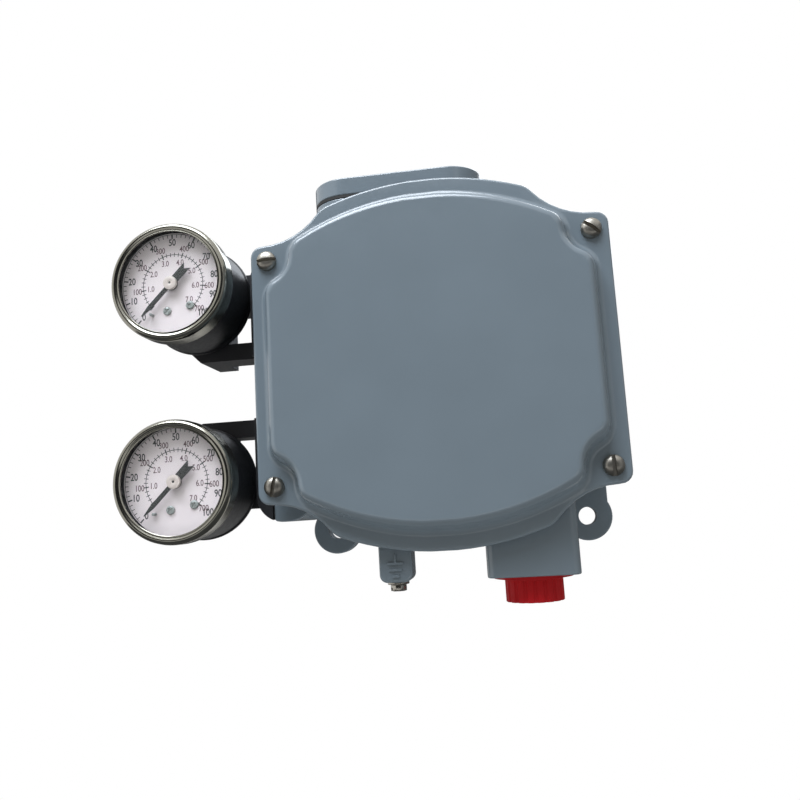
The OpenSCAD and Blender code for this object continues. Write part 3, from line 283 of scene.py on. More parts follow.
def make_finishes(colours):
    """Fills the table of finishes, one for each material slot of the record and a few inks."""
    plug = tuple(colours.plug)
    dial = tuple(colours.dial)
    FINISHES.update({
        "casting_paint": casting_paint(colours),
        # Black anodised bar: an even dark grey with a fine, dry sheen from the extruded skin.
        "block_black": grained("black_anodised_aluminium", linear("#26272A"), linear("#343538"),
                               9, 0.5, (0.42, 0.54), 0.006, 0.0, (1, 1, 0.3), ior=1.5, specular_ior_level=0.3),
        # Turned stainless: bright, slightly warm, with soft streaks from the tool.
        "stainless": grained("turned_stainless_steel", linear("#96928A"), linear("#B5B1A8"),
                             2.5, 0.3, (0.16, 0.28), 0.004, 1.0, (1, 1, 3)),
        # Cover screws: the same steel, dulled by handling, with a fine streaked grain.
        "handled_steel": grained("handled_stainless_steel", linear("#87837B"), linear("#ACA89F"),
                                 1.2, 0.25, (0.28, 0.42), 0.008, 1.0, (1, 1, 3)),
        "lens_glass": window_glass(),
        # Stove enamel on the pressed case: nearly black, smooth, with a faint ripple.
        "gauge_black": grained("black_stove_enamel_on_steel", linear("#17181A"), linear("#212225"),
                               12, 1.4, (0.4, 0.5), 0.01, ior=1.5, specular_ior_level=0.35),
        # Printed dial sheet: off-white lacquer, a little pink, with soft mottling.
        "dial_white": grained("white_lacquer_on_aluminium", dial, shade(dial, 0.93),
                              15, 0.6, (0.42, 0.55), 0.002, ior=1.48),
        "pointer_black": grained("satin_black_lacquer_on_aluminium", linear("#0E0D0F"), linear("#191719"),
                                 3, 0.4, (0.35, 0.5), 0.003, ior=1.48),
        # Lacquered hub of a pointer: pale, warm and flat, hardly brighter than the dial.
        "hub_lacquer": grained("silver_lacquer_on_brass", linear("#B5A5A1"), linear("#C4B6B0"),
                               3, 0.4, (0.35, 0.5), 0.002, ior=1.48),
        # Dull nickel on the dial screws: mid grey, without the glitter of turned steel.
        "dull_nickel": grained("dull_nickel_plated_steel", linear("#8B8E8D"), linear("#A3A6A4"),
                               1.5, 0.25, (0.4, 0.55), 0.003, 0.5),
        # Cut brass: warm yellow with streaks along the bar.
        "brass": grained("turned_brass", linear("#A8823F"), linear("#C9A45A"),
                         3, 0.35, (0.24, 0.4), 0.005, 1.0, (1, 0.4, 1)),
        # Drawn bronze tube: redder than brass and duller.
        "bronze": grained("drawn_phosphor_bronze", linear("#8C5B36"), linear("#AB7648"),
                          4, 0.5, (0.32, 0.48), 0.006, 1.0),
        # Moulded nitrile rubber: deep black, dull, with a fine pebble.
        "rubber": grained("moulded_nitrile_rubber", linear("#161616"), linear("#232323"),
                          5, 0.45, (0.62, 0.78), 0.02, ior=1.52),
        # Milled aluminium: pale, cool, with fine cutter streaks.
        "bare_aluminium": grained("milled_aluminium", linear("#A7AAAC"), linear("#C3C6C8"),
                                  5, 0.4, (0.3, 0.44), 0.006, 1.0, (0.3, 1, 1)),
        # Zinc-plated steel: blue-grey with a soft cloud in the plating.
        "steel": grained("zinc_plated_steel", linear("#8E9194"), linear("#B2B5B7"),
                         4, 0.4, (0.26, 0.42), 0.005, 1.0),
        # Blackened steel: dark brown-black, oiled, with a soft shine.
        "black_oxide": grained("blackened_steel", linear("#1D1C1C"), linear("#2C2A29"),
                               3, 0.4, (0.3, 0.45), 0.006, 0.6),
        # Moulded coil case: black plastic with a spark-eroded grain.
        "coil_plastic": grained("moulded_black_polyamide", linear("#18191B"), linear("#242628"),
                                6, 0.5, (0.45, 0.6), 0.02, ior=1.53),
        # Terminal moulding: green plastic with the same dull grain.
        "terminal_plastic": grained("moulded_green_polyamide", linear("#244733"), linear("#2F573F"),
                                    6, 0.5, (0.42, 0.56), 0.02, ior=1.53),
        # Polyethylene plug: clean red with a weak gloss, and flow marks from the mould.
        "plug_red": grained("moulded_red_polyethylene", shade(plug, 0.86), shade(plug, 1.1),
                            7, 0.9, (0.48, 0.6), 0.012, ior=1.51, specular_ior_level=0.2),
        "scale_ink": grained("black_dial_ink", tuple(colours.scale_ink), shade(colours.scale_ink, 1.5),
                             2, 0.3, (0.45, 0.6), 0.001, ior=1.48),
        "inner_ink": grained("wine_red_dial_ink", tuple(colours.inner_ink), shade(colours.inner_ink, 1.25),
                             2, 0.3, (0.45, 0.6), 0.001, ior=1.48),
    })
    for side in GAUGE_SIDES:
        FINISHES[side + "_bezel"] = spun_steel(
            "spun_stainless_" + side, centre_of(side + "_gauge_bezel"))


def publish(bm, name, body, finish, nodes=(), crease=32.0):
    """Makes a finished piece of a bmesh: smooth where it curves, riding on its body if one is named."""
    mesh = bpy.data.meshes.new(name)
    bm.to_mesh(mesh)
    bm.free()
    # The normals that came with a CAD copy no longer fit its new faces.
    stale = mesh.attributes.get("custom_normal")
    if stale:
        mesh.attributes.remove(stale)
    for face in mesh.polygons:
        face.use_smooth = True
    mesh.set_sharp_from_angle(angle=math.radians(crease))
    mesh.materials.append(FINISHES[finish])
    piece = bpy.data.objects.new(name, mesh)
    bpy.context.scene.collection.objects.link(piece)
    if nodes:
        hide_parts(*nodes)
    even = piece.modifiers.new("even_flats", "WEIGHTED_NORMAL")
    even.keep_sharp = True
    # Flats outweigh the rounds beside them, so a flat reflects like one plane.
    even.use_face_influence = True
    if body:
        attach(piece, body)
    return piece


def merged(node):
    """A bmesh copy of a CAD node with its loose triangles joined."""
    bm = bmesh.new()
    bm.from_mesh(frame["nodes"][node].data)
    bmesh.ops.remove_doubles(bm, verts=bm.verts, dist=CAD_JOIN)
    return bm


def turn_of(edge):
    """Angle by which the surface turns at an edge, or none at an open one."""
    return edge.calc_face_angle() if edge.is_manifold else 0.0


def round_a_hole(edge):
    """Whether an edge runs round the mouth of a drilled hole."""
    for wall in edge.link_faces:
        for side in wall.edges:
            gentle = HOLE_TURNS[0] < turn_of(side) < HOLE_TURNS[1]
            if gentle and not side.is_convex and edge.calc_length() < HOLE_FACET:
                return True
    return False


def ease(bm, width, segments, castings=False):
    """Rounds the sharp edges; on castings only the outer ones, because drilled holes stay crisp."""
    # The wide flats of a casting keep their triangles, because the rounds would tear larger faces.
    if not castings:
        bmesh.ops.dissolve_limit(
            bm, angle_limit=FLAT_TURN, use_dissolve_boundaries=False, verts=bm.verts, edges=bm.edges)
    corners = [e for e in bm.edges if turn_of(e) > EDGE_TURN]
    if castings:
        corners = [e for e in corners if e.is_convex and not round_a_hole(e)]
    bmesh.ops.bevel(
        bm, geom=corners, offset=width, offset_type="OFFSET", segments=segments, profile=0.5,
        affect="EDGES", clamp_overlap=not castings, material=-1, loop_slide=not castings,
        face_strength_mode="ALL")


def dress(node, width, segments=2, castings=False):
    """Replaces a CAD node with an eased copy in its finish."""
    bm = merged(node)
    ease(bm, width, segments, castings)
    slot = SLOT_OF[node]
    publish(bm, node + "_piece", BODY_OF[node], slot, [node])


def paint_node(node, finish=None):
    """Gives a CAD node whose shape is right its finish."""
    data = frame["nodes"][node].data
    data.materials.clear()
    data.materials.append(FINISHES[finish or SLOT_OF[node]])


def turned(bm, profile, centre, axis, steps):
    """Spins a closed profile of points round an axis through `centre`."""
    ring = [bm.verts.new(p) for p in profile]
    edges = [bm.edges.new((a, b)) for a, b in zip(ring, ring[1:] + ring[:1])]
    bmesh.ops.spin(
        bm, geom=ring + edges, cent=centre, axis=axis, angle=2 * math.pi, steps=steps, use_merge=True)
    bmesh.ops.remove_doubles(bm, verts=bm.verts, dist=JOIN)
    # A profile that touches the axis leaves a bare edge along it.
    bmesh.ops.delete(bm, geom=[e for e in bm.edges if e.is_wire], context="EDGES")
    bmesh.ops.recalc_face_normals(bm, faces=bm.faces)


def slab(bm, low, high, matrix):
    """Adds a box between two corners, set in place by a matrix."""
    size = Vector(high) - Vector(low)
    middle = (Vector(high) + Vector(low)) / 2
    place = matrix @ Matrix.Translation(middle) @ Matrix.Diagonal((*size, 1.0))
    bmesh.ops.create_cube(bm, size=1.0, matrix=place)


def keep_beyond(bm, point, normal):
    """Cuts a solid with a plane, keeps what lies beyond it and closes the cut."""
    whole = [*bm.verts, *bm.edges, *bm.faces]
    cut = bmesh.ops.bisect_plane(
        bm, geom=whole, dist=JOIN, plane_co=point, plane_no=normal, clear_inner=True)
    rim = [e for e in cut["geom_cut"] if isinstance(e, bmesh.types.BMEdge)]
    bmesh.ops.holes_fill(bm, edges=rim)
    bmesh.ops.recalc_face_normals(bm, faces=bm.faces)


def put(bm, part, place):
    """Adds a part to a piece, in its place."""
    bmesh.ops.transform(part, matrix=place, verts=part.verts)
    mesh = bpy.data.meshes.new("part")
    part.to_mesh(mesh)
    part.free()
    bm.from_mesh(mesh)
    bpy.data.meshes.remove(mesh)


class PositionerPiece:
    """What the operators share."""

    bl_options = {"REGISTER", "UNDO"}

    def settings(self, context):
        """Sizes and colours from the scene."""
        return context.scene.positioner_sizes, context.scene.positioner_colours


class POSITIONER_OT_finishes(PositionerPiece, bpy.types.Operator):
    """Make the paints, metals, plastics and inks"""

    bl_idname = "positioner.finishes"
    bl_label = "Finishes"

    def execute(self, context):
        make_finishes(self.settings(context)[1])
        # Each bezel has a finish of its own, centred on its axis.
        missing = {slot for slot in SLOT_OF.values() if slot not in FINISHES} - {"bezel_steel"}
        if missing:
            raise RuntimeError(f"no finish for {sorted(missing)}")
        return {"FINISHED"}


class POSITIONER_OT_castings(PositionerPiece, bpy.types.Operator):
    """Round the edges of the housing and the signal chamber cap, and clean the rim of the cover"""

    bl_idname = "positioner.castings"
    bl_label = "Castings"

    # Height of the mounting pad above the back wall, and how far a point of a flat may stray from it, in mm
    pad_rise = 3.0
    level_error = 0.001

    def execute(self, context):
        sizes, _ = self.settings(context)
        dress("top_cap", sizes.casting_round, 3, castings=True)
        housing = merged("housing")
        ease(housing, sizes.casting_round, 3, castings=True)
        self.lay_flat(housing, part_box("housing")[1][1] - self.pad_rise * MM)
        self.cast(housing, "housing")
        # The cover's loft is round already, so its copy only gets a clean rim and smooth shading.
        cover = merged("front_cover")
        self.lay_flat(cover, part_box("front_cover")[1][1])
        self.cast(cover, "front_cover")
        return {"FINISHED"}

    def cast(self, bm, node):
        """Publishes a painted casting in the place of its node."""
        publish(bm, node + "_piece", BODY_OF[node], "casting_paint", [node])

    def lay_flat(self, bm, level):
        """Fills the flat that faces backwards at `level` anew, because slivers in it were folded over."""
        flat = {f for f in bm.faces if all(abs(v.co.y - level) < self.level_error * MM for v in f.verts)}
        outline = [e for e in bm.edges if len(flat.intersection(e.link_faces)) == 1]
        bmesh.ops.delete(bm, geom=list(flat), context="FACES")
        bmesh.ops.triangle_fill(bm, edges=outline, use_beauty=True, normal=(0, 1, 0))
        bmesh.ops.recalc_face_normals(bm, faces=bm.faces)


class POSITIONER_OT_manifold(PositionerPiece, bpy.types.Operator):
    """Break the edges of the port blocks, and give the blocks' gaskets and the cover's gasket their finish"""

    bl_idname = "positioner.manifold"
    bl_label = "Port blocks"

    def execute(self, context):
        sizes, _ = self.settings(context)
        for node in ("output_block", "supply_block"):
            dress(node, 2 * sizes.machined_round, 2)
        for node in ("block_gaskets", "cover_gasket"):
            paint_node(node)
        return {"FINISHED"}


class POSITIONER_OT_fasteners(PositionerPiece, bpy.types.Operator):
    """Round the heads of the screws and the earth terminal"""

    bl_idname = "positioner.fasteners"
    bl_label = "Fasteners"

    # Radius of the cover screws' heads, rise of the cover's panel above their seats, and thread, in mm
    head_r = 3.5
    panel_rise = 8.0
    thread_pitch = 0.7
    thread_r = 2.0
    root_r = 1.6
    # Height of the head's straight side, and of the slot's floor, as a share of the head
    side_share = 0.3
    # Radius of the slot's floor as a share of the head's, so that it ends inside the side
    floor_share = 0.97

    def execute(self, context):
        sizes, _ = self.settings(context)
        self.cover_screws(sizes)
        for node in ("block_screws", "top_cap_screws", "ground_screw", "ground_washer",
                     "pilot_screws", "terminal_screws"):
            dress(node, sizes.machined_round, 2)
        return {"FINISHED"}

    def cover_screws(self, sizes):
        """Four slotted screws with round heads and cut threads, each slot as it was left."""
        low, high = (Vector(v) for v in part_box("cover_screws"))
        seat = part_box("front_cover")[0][1] + self.panel_rise * MM
        head_h = seat - low.y
        bm = bmesh.new()
        for x, z, turn in ((-1, 1, 4), (1, 1, 140), (1, -1, 92), (-1, -1, 80)):
            axis = Vector((x * ((high.x - low.x) / 2 - self.head_r * MM), seat,
                           z * ((high.z - low.z) / 2 - self.head_r * MM)))
            place = (Matrix.Translation(axis) @ Matrix.Rotation(math.pi / 2, 4, "X")
                     @ Matrix.Rotation(math.radians(turn), 4, "Z"))
            self.half_head(bm, place, head_h, sizes.slot_width)
            self.half_head(bm, place @ Matrix.Rotation(math.pi, 4, "Z"), head_h, sizes.slot_width)
            self.shank(bm, place, head_h, high.y - seat)
        publish(bm, "cover_screws_piece", BODY_OF["cover_screws"], "handled_steel", ["cover_screws"])

    def dome_height(self, head_h, angle):
        """Height of the round head at an angle of its arc."""
        return head_h * (self.side_share + (1 - self.side_share) * math.sin(angle))

    def half_head(self, bm, place, head_h, slot):
        """Half of a round head, beside the slot."""
        half = bmesh.new()
        arc = [math.radians(a) for a in range(0, 91, 10)]
        dome = [(self.head_r * MM * math.cos(a) ** 0.8, 0, self.dome_height(head_h, a)) for a in arc]
        dome[-1] = (0, 0, head_h)
        turned(half, [(0, 0, 0), (self.head_r * MM, 0, 0), *dome], (0, 0, 0), (0, 0, 1), 64)
        keep_beyond(half, (0, slot / 2, 0), (0, 1, 0))
        put(bm, half, place)

    def shank(self, bm, place, head_h, length):
        """The floor of the slot, the shank and its thread, drawn as rings."""
        body = bmesh.new()
        floor = self.side_share * head_h
        pitch, crest, root = (size * MM for size in (self.thread_pitch, self.thread_r, self.root_r))
        inside = self.floor_share * self.head_r * MM
        profile = [(0, 0, floor), (inside, 0, floor), (inside, 0, 0), (crest, 0, 0)]
        for i in range(1, int(length / pitch)):
            profile += [(crest, 0, -(i - 0.5) * pitch), (root, 0, -i * pitch)]
        profile += [(root, 0, -length), (0, 0, -length)]
        turned(body, profile, (0, 0, 0), (0, 0, 1), 32)
        put(bm, body, place)


class POSITIONER_OT_gauges(PositionerPiece, bpy.types.Operator):
    """Turn the gauge bezels and fit cases, windows, pointers and dial screws"""

    bl_idname = "positioner.gauges"
    bl_label = "Gauges"

    # Where the pin stands that stops the pointer: angle, and distance from the hub in mm
    stop_angle = math.radians(234)
    stop_r = 13.0

    def execute(self, context):
        sizes, _ = self.settings(context)
        for side in GAUGE_SIDES:
            self.bezel(side)
            self.hub_cap(side)
            dress(side + "_gauge_case", 2 * sizes.machined_round, 2)
            dress(side + "_pointer", 0.4 * sizes.machined_round, 1)
            dress(side + "_gauge_socket", sizes.machined_round, 2)
            self.dial_screws(side)
            for part in ("gauge_lens", "gauge_dial", "gauge_movement", "gauge_tube"):
                paint_node(f"{side}_{part}")
            # Thin flat glass hardly dims the light that falls on the dial.
            frame["nodes"][side + "_gauge_lens"].visible_shadow = False
        return {"FINISHED"}

    def bezel(self, side):
        """The rolled bezel: a round shoulder, a shallow slope and a curled lip on the window."""
        node = side + "_gauge_bezel"
        low, high = (Vector(v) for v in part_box(node))
        middle = (low + high) / 2
        outer = (high.x - low.x) / 2
        bm = bmesh.new()
        # Steps in from the outer edge, and depths behind the front, in mm
        inward = [
            (1.05, 8.0), (0.25, 8.0), (0.05, 7.8), (0.0, 7.4), (0.0, 2.0), (0.08, 1.4), (0.3, 0.85),
            (0.65, 0.4), (1.1, 0.1), (1.55, 0.0), (1.95, 0.1), (2.3, 0.32), (2.6, 0.38), (2.85, 0.3),
            (3.0, 0.28), (3.12, 0.38), (3.15, 0.55), (3.1, 0.8), (1.05, 0.8)]
        profile = [(middle.x + outer - step * MM, low.y + deep * MM, middle.z) for step, deep in inward]
        turned(bm, profile, middle, (0, 1, 0), 144)
        publish(bm, node + "_piece", BODY_OF[node], side + "_bezel", [node])

    def dial_screws(self, side):
        """Two screws with cross recesses, and the pin that stops the pointer below zero."""
        node = side + "_dial_screws"
        axis = centre_of(side + "_gauge_bezel")
        bm = bmesh.new()
        for x, z, turn in ((-2.2, -9.4, 38), (6.2, -8.0, 52)):
            place = (Matrix.Translation((axis.x + x * MM, DIAL_Y, axis.z + z * MM))
                     @ Matrix.Rotation(math.pi / 2, 4, "X") @ Matrix.Rotation(math.radians(turn), 4, "Z"))
            self.round_part(bm, place, [
                (1.0, 0.0), (1.5, 0.0), (1.5, 0.35), (1.38, 0.55), (1.15, 0.67), (1.0, 0.7)])
            self.round_part(bm, place, [(0.0, 0.2), (1.02, 0.2), (1.02, 0.0), (0.8, 0.0), (0.8, -5.0), (0.0, -5.0)])
            for quarter in range(4):
                self.round_part(bm, place @ Matrix.Rotation(quarter * math.pi / 2, 4, "Z"),
                                [(0.0, 0.1), (1.02, 0.1), (1.02, 0.7), (0.0, 0.7)], 0.23)
        out = Vector((math.cos(self.stop_angle), 0, math.sin(self.stop_angle))) * self.stop_r * MM
        stop = Vector((axis.x, DIAL_Y, axis.z)) + out
        self.round_part(bm, Matrix.Translation(stop) @ Matrix.Rotation(math.pi / 2, 4, "X"), [
            (0.0, -2.0), (0.5, -2.0), (0.5, 2.1), (0.35, 2.3), (0.0, 2.3)])
        publish(bm, node + "_piece", BODY_OF[node], "dull_nickel", [node])

    def round_part(self, bm, place, shape, recess=None):
        """Adds a turned part; with half the width of a recess, only the quarter beside its two arms."""
        part = bmesh.new()
        turned(part, [(r * MM, 0, h * MM) for r, h in shape], (0, 0, 0), (0, 0, 1), 32)
        if recess:
            keep_beyond(part, (recess * MM, 0, 0), (1, 0, 0))
            keep_beyond(part, (0, recess * MM, 0), (0, 1, 0))
        put(bm, part, place)

    def hub_cap(self, side):
        """The pale cap on the pointer's hub, with a pinhole in its middle."""
        node = side + "_pointer"
        axis = centre_of(side + "_gauge_bezel")
        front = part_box(node)[0][1]
        bm = bmesh.new()
        shape = [(0.42, 0.0), (0.42, -0.12), (0.55, -0.2), (2.1, -0.2), (2.38, -0.08), (2.42, 0.25), (2.42, 0.9),
                 (2.3, 0.9), (2.3, 0.0)]
        profile = [(axis.x + r * MM, front + d * MM, axis.z) for r, d in shape]
        turned(bm, profile, axis, (0, 1, 0), 64)
        publish(bm, side + "_hub_cap", BODY_OF[node], "hub_lacquer")


class POSITIONER_OT_dials(PositionerPiece, bpy.types.Operator):
    """Print the scales and figures on the two dials"""

    bl_idname = "positioner.dials"
    bl_label = "Dial prints"

    # Height of this font's figures as a share of its size, and how narrow they are printed
    figure_share = 0.636
    figure_width = 0.78
    # Radii of the scales' base lines and of the three rings of figures, in mm
    outer_line = 18.5
    outer_figures = 15.4
    hundreds = 13.4
    inner_line = 11.0
    inner_figures = 8.3
    # The outer scale has ten steps of ten; the inner one ends at seven, each unit in five parts.
    outer_steps = 10
    inner_full = 7
    parts = 5

    def execute(self, context):
        sizes, _ = self.settings(context)
        for side in GAUGE_SIDES:
            axis = centre_of(side + "_gauge_bezel")
            spot = Matrix.Translation((axis.x, DIAL_Y, axis.z))
            black, red = bmesh.new(), bmesh.new()
            self.line(black, spot, sizes, self.outer_line, 0.16)
            self.line(black, spot, sizes, self.inner_line, 0.24)
            for i in range(sizes.divisions + 1):
                major = i % self.parts == 0
                inward = 1.7 if major else 1.2
                self.tick(black, spot, sizes, i / sizes.divisions, self.outer_line - inward,
                          self.outer_line, 0.48 if major else 0.25)
            for i in range(self.parts * self.inner_full + 1):
                major = i % self.parts == 0
                reach = 1.0 if major else 0.75
                self.tick(black, spot, sizes, i / (self.parts * self.inner_full),
                          self.inner_line - reach, self.inner_line + reach, 0.4 if major else 0.25)
            for i in range(self.outer_steps + 1):
                self.figure(black, spot, sizes, str(10 * i), i / self.outer_steps, self.outer_figures, 1.0, 0.06)
            for i in range(1, self.inner_full + 1):
                share = i / self.inner_full
                self.figure(red, spot, sizes, str(100 * i), share, self.hundreds, 0.86, 0.03)
                self.figure(red, spot, sizes, f"{i}.0", share, self.inner_figures, 0.84, 0.03)
            publish(black, side + "_dial_scale", "housing", "scale_ink")
            publish(red, side + "_dial_inner_scale", "housing", "inner_ink")
        return {"FINISHED"}

    def angle(self, sizes, share):
        """Angle of a share of full scale, counter-clockwise from the right."""
        return ZERO_ANGLE - share * sizes.sweep

    def line(self, bm, spot, sizes, radius, width):
        """A scale's base line from zero to full scale."""
        start = Matrix.Rotation(-self.angle(sizes, 0), 4, "Y")
        corners = [(radius - width / 2, 0), (radius + width / 2, 0),
                   (radius + width / 2, -1), (radius - width / 2, -1)]
        ring = [bm.verts.new(spot @ start @ Vector((r * MM, d * sizes.print_height, 0))) for r, d in corners]
        face = bm.faces.new(ring)
        bmesh.ops.spin(
            bm, geom=[face, *face.edges, *ring], cent=spot.translation, axis=(0, 1, 0),
            angle=sizes.sweep, steps=90, use_duplicate=False)
        bmesh.ops.recalc_face_normals(bm, faces=bm.faces)

    def tick(self, bm, spot, sizes, share, low, high, width):
        """One mark across a scale."""
        turn = Matrix.Rotation(-self.angle(sizes, share), 4, "Y")
        slab(bm, (low * MM, -sizes.print_height, -width * MM / 2), (high * MM, 0, width * MM / 2), spot @ turn)

    def figure(self, bm, spot, sizes, text, share, radius, size, bold):
        """One upright figure beside its mark."""
        curve = bpy.data.curves.new("figure", "FONT")
        curve.body = text
        curve.size = sizes.figure_height * size / self.figure_share
        curve.offset = bold * MM
        curve.align_x = "CENTER"
        curve.align_y = "CENTER"
        curve.resolution_u = 4
        curve.extrude = sizes.print_height / 2
        holder = bpy.data.objects.new("figure", curve)
        mesh = bpy.data.meshes.new_from_object(holder)
        angle = self.angle(sizes, share)
        place = Matrix.Translation((radius * MM * math.cos(angle), -sizes.print_height / 2,
                                    radius * MM * math.sin(angle)))
        upright = Matrix.Rotation(math.pi / 2, 4, "X") @ Matrix.Diagonal((self.figure_width, 1, 1, 1))
        mesh.transform(spot @ place @ upright)
        bm.from_mesh(mesh)
        bpy.data.objects.remove(holder)
        bpy.data.curves.remove(curve)
        bpy.data.meshes.remove(mesh)


class POSITIONER_OT_conduit_plug(PositionerPiece, bpy.types.Operator):
    """Soften the edges of the red closing plug"""

    bl_idname = "positioner.conduit_plug"
    bl_label = "Conduit plug"

    def execute(self, context):
        sizes, _ = self.settings(context)
        dress("conduit_plug", sizes.machined_round, 2)
        return {"FINISHED"}


class POSITIONER_OT_earth_sign(PositionerPiece, bpy.types.Operator):
    """Cast the raised earth sign on the terminal boss"""

    bl_idname = "positioner.earth_sign"
    bl_label = "Earth sign"

    # Setback of the boss from the rim, height of the sign above the washer, relief, root and edge, in mm
    setback = 0.2
    sign_height = 5.9
    relief = 0.65
    root = 0.3
    edge_round = 0.12
    # Half width, lower end and upper end of each bar, in mm
    bars = ((0.35, 0.6, 3.5), (2.75, 0.0, 0.75), (2.2, -2.1, -1.35), (1.3, -4.2, -3.45))

    def execute(self, context):
        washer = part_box("ground_washer")
        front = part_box("housing")[0][1] + self.setback * MM
        spot = Matrix.Translation((centre_of("ground_washer").x, front, washer[1][2] + self.sign_height * MM))
        bm = bmesh.new()
        for half, z0, z1 in self.bars:
            slab(bm, (-half * MM, -self.relief * MM, z0 * MM), (half * MM, self.root * MM, z1 * MM), spot)
        ease(bm, self.edge_round * MM, 2)
        publish(bm, "earth_sign", "housing", "casting_paint")
        return {"FINISHED"}


class POSITIONER_OT_mechanism(PositionerPiece, bpy.types.Operator):
    """Finish the working parts behind the cover and wind the range spring"""

    bl_idname = "positioner.mechanism"
    bl_label = "Mechanism"

    # The spring: radius of its wire, its turns, those in its separate end piece, and facets to a turn
    wire = 0.55 * MM
    turns = 4.5
    end_turns = 0.75
    facets = 36
    # Share of its height by which the follower squeezes it
    squeeze = 0.45

    def execute(self, context):
        sizes, _ = self.settings(context)
        eased = ("cam", "cam_nut", "follower_lever", "follower_roller", "zero_wheel", "balance_beam",
                 "pilot_body", "pilot_spool", "ip_converter", "terminal_block", "feedback_shaft",
                 "shaft_clip", "vent_plug", "lever_pin", "beam_pin", "shaft_bush")
        for node in eased:
            dress(node, sizes.machined_round, 2)
        for node in ("shaft_seal", "signal_diaphragm", "diaphragm_stem"):
            paint_node(node)
        self.spring()
        return {"FINISHED"}

    def spring(self):
        """The range spring in two pieces: most of it rides on the housing, and its last coil is a piece of its own.
        """
        low, high = (Vector(v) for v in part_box("range_spring"))
        split = self.turns - self.end_turns
        piece = publish(self.coil(low, high, 0, split), "range_spring_piece", "housing", "steel",
                        ["range_spring"], 80)
        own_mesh(piece)
        end = publish(self.coil(low, high, split, self.turns), "range_spring_end", None, "steel",
                      crease=80)
        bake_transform(end)

    def pitch(self, low, high):
        """Rise of the wire in one turn."""
        return (high.z - low.z - 2 * self.wire) / self.turns

    def coil(self, low, high, first, last):
        """A stretch of the wound wire, between two counts of turns from its lower end."""
        middle = (low + high) / 2
        reach = (high.x - low.x) / 2 - self.wire
        start = (Matrix.Translation((middle.x, middle.y, low.z + self.wire + first * self.pitch(low, high)))
                 @ Matrix.Rotation(2 * math.pi * first, 4, "Z")
                 @ Matrix.Translation((reach, 0, 0)) @ Matrix.Rotation(math.pi / 2, 4, "X"))
        bm = bmesh.new()
        ring = bmesh.ops.create_circle(bm, cap_ends=True, segments=12, radius=self.wire, matrix=start)["verts"]
        steps = round((last - first) * self.facets)
        bmesh.ops.spin(
            bm, geom=list(bm.faces) + list(bm.edges) + ring, cent=middle, axis=(0, 0, 1),
            dvec=(0, 0, (last - first) * self.pitch(low, high) / steps),
            angle=2 * math.pi * (last - first), steps=steps)
        bmesh.ops.recalc_face_normals(bm, faces=bm.faces)
        return bm


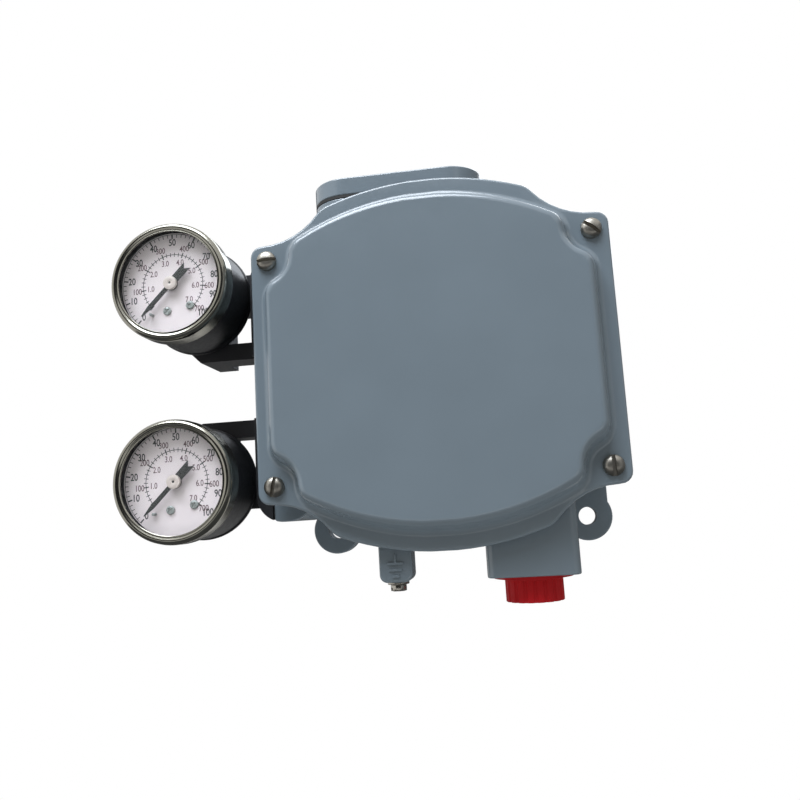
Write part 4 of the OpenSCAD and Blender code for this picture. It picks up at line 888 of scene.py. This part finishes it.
class POSITIONER_OT_stage(PositionerPiece, bpy.types.Operator):
    """Set the world, the floor, the dark cards, the lamps and the camera"""

    bl_idname = "positioner.stage"
    bl_label = "Stage"

    # Place in mm, turn in degrees and focal length in mm, solved from points of the photo
    camera_at = (22.49, -326.74, -50.74)
    camera_turn = (98.146, 3.330, 7.928)
    camera_lens = 35.61
    # Level and half width of the floor, in m
    floor_level = -0.55
    floor_reach = 4.0

    def execute(self, context):
        scene = context.scene
        scene.view_settings.view_transform = "Standard"
        self.world(scene)
        self.floor()
        self.dark_cards()
        self.lamps()
        data = bpy.data.cameras.new("photo_camera")
        data.lens = self.camera_lens
        data.clip_start = 0.01
        camera = bpy.data.objects.new("photo_camera", data)
        camera.location = Vector(self.camera_at) * MM
        camera.rotation_euler = Euler([math.radians(a) for a in self.camera_turn], "XYZ")
        scene.collection.objects.link(camera)
        scene.camera = camera
        return {"FINISHED"}

    def white_to_eye(self, tree):
        """One where the camera, a gloss or a glass looks, and nought for all other light."""
        path = add(tree, "ShaderNodeLightPath")
        seen = add(tree, "ShaderNodeMath", {"operation": "MAXIMUM"}, {
            0: path.outputs["Is Camera Ray"], 1: path.outputs["Is Glossy Ray"]})
        seen = add(tree, "ShaderNodeMath", {"operation": "MAXIMUM"}, {
            0: seen.outputs[0], 1: path.outputs["Is Transmission Ray"]})
        return seen.outputs[0]

    def world(self, scene):
        """Soft white light from all round."""
        world = bpy.data.worlds.new("studio_world")
        scene.world = world
        world.use_nodes = True
        tree = world.node_tree
        seen = self.white_to_eye(tree)
        soft = tree.nodes["Background"]
        soft.inputs["Color"].default_value = rgba("#FFF5EA")
        soft.inputs["Strength"].default_value = 0.4
        white = add(tree, "ShaderNodeBackground", sockets={"Color": rgba("#FFFFFF"), "Strength": 1.0})
        both = add(tree, "ShaderNodeMixShader", sockets={
            0: seen, 1: soft.outputs[0], 2: white.outputs[0]})
        tree.links.new(both.outputs[0], tree.nodes["World Output"].inputs["Surface"])

    def floor(self):
        """A pale floor well below the object, which keeps its shadow."""
        bm = bmesh.new()
        bmesh.ops.create_grid(bm, x_segments=1, y_segments=1, size=self.floor_reach,
                              matrix=Matrix.Translation((0, 0, self.floor_level)))
        mesh = bpy.data.meshes.new("studio_floor")
        bm.to_mesh(mesh)
        bm.free()
        material = bpy.data.materials.new("pale_studio_floor")
        material.use_nodes = True
        tree = material.node_tree
        shader = tree.nodes["Principled BSDF"]
        shader.inputs["Base Color"].default_value = rgba("#CDCDCB")
        shader.inputs["Roughness"].default_value = 0.9
        glow = add(tree, "ShaderNodeEmission", sockets={"Color": rgba("#FFFFFF"), "Strength": 1.0})
        both = add(tree, "ShaderNodeMixShader", sockets={
            0: self.white_to_eye(tree), 1: shader.outputs[0], 2: glow.outputs[0]})
        tree.links.new(both.outputs[0], tree.nodes["Material Output"].inputs["Surface"])
        mesh.materials.append(material)
        floor = bpy.data.objects.new("studio_floor", mesh)
        bpy.context.scene.collection.objects.link(floor)

    def dark_cards(self):
        """Dark cards round and below the object, which only gloss and metal see."""
        for name, code, spot, turn, width, height in (
                ("front_card", "#2A2B2C", (0, -1.5, 0.25), ("X", 90), 2.4, 1.1),
                ("side_card", "#7A7B7C", (1.1, -0.2, 0.0), ("Y", 90), 1.5, 2.2),
                ("back_card", "#4A4B4C", (0.2, 1.2, 0.0), ("X", 90), 2.6, 1.6),
                ("low_card", "#4A4B4C", (0, -0.3, -0.5), ("X", 0), 2.4, 1.8)):
            bm = bmesh.new()
            bmesh.ops.create_grid(
                bm, x_segments=1, y_segments=1, size=0.5,
                matrix=Matrix.Translation(spot) @ Matrix.Rotation(math.radians(turn[1]), 4, turn[0])
                @ Matrix.Diagonal((width, height, 1, 1)))
            mesh = bpy.data.meshes.new(name)
            bm.to_mesh(mesh)
            bm.free()
            material = bpy.data.materials.new("felt_" + name)
            material.use_nodes = True
            shader = material.node_tree.nodes["Principled BSDF"]
            shader.inputs["Base Color"].default_value = rgba(code)
            shader.inputs["Roughness"].default_value = 0.95
            mesh.materials.append(material)
            card = bpy.data.objects.new(name, mesh)
            card.visible_camera = False
            card.visible_diffuse = False
            card.visible_shadow = False
            card.visible_transmission = False
            bpy.context.scene.collection.objects.link(card)

    def lamps(self):
        """A soft key from the upper left front, a weak fill from the right and a lamp for the back."""
        for name, power, size, spot, aim in (
                ("key_lamp", 28.0, 0.9, (-0.3, -0.6, 1.15), (-0.01, -0.04, 0.0)),
                ("fill_lamp", 0.5, 0.9, (1.0, -0.7, 0.1), (-0.01, -0.04, 0.0)),
                ("back_lamp", 9.0, 0.9, (0.35, 1.0, 0.7), (0.0, 0.0, 0.0))):
            data = bpy.data.lights.new(name, "AREA")
            data.energy = power
            data.color = linear("#EFF6FF")
            data.size = size
            lamp = bpy.data.objects.new(name, data)
            lamp.location = spot
            lamp.rotation_euler = (Vector(aim) - Vector(spot)).to_track_quat("-Z", "Y").to_euler()
            bpy.context.scene.collection.objects.link(lamp)


OPERATORS = (
    POSITIONER_OT_finishes, POSITIONER_OT_castings, POSITIONER_OT_manifold, POSITIONER_OT_fasteners,
    POSITIONER_OT_gauges, POSITIONER_OT_dials, POSITIONER_OT_conduit_plug, POSITIONER_OT_earth_sign,
    POSITIONER_OT_mechanism, POSITIONER_OT_stage)


class POSITIONER_PT_panel(bpy.types.Panel):
    """Lists the settings and the pieces in the order they are made"""

    bl_idname = "POSITIONER_PT_panel"
    bl_label = "Valve Positioner"
    bl_space_type = "VIEW_3D"
    bl_region_type = "UI"
    bl_category = "Positioner"

    def draw(self, context):
        for group in (context.scene.positioner_sizes, context.scene.positioner_colours):
            for name in group.bl_rna.properties.keys():
                if name not in ("rna_type", "name"):
                    self.layout.prop(group, name)
        for operator in OPERATORS:
            self.layout.operator(operator.bl_idname)


CLASSES = (PositionerSizes, PositionerColours, *OPERATORS, POSITIONER_PT_panel)


def register():
    for cls in CLASSES:
        bpy.utils.register_class(cls)
    bpy.types.Scene.positioner_sizes = PointerProperty(type=PositionerSizes)
    bpy.types.Scene.positioner_colours = PointerProperty(type=PositionerColours)


def unregister():
    del bpy.types.Scene.positioner_colours
    del bpy.types.Scene.positioner_sizes
    for cls in reversed(CLASSES):
        bpy.utils.unregister_class(cls)


def main():
    register()
    for operator in OPERATORS:
        group, name = operator.bl_idname.split(".")
        getattr(getattr(bpy.ops, group), name)()


if __name__ == "__main__":
    main()
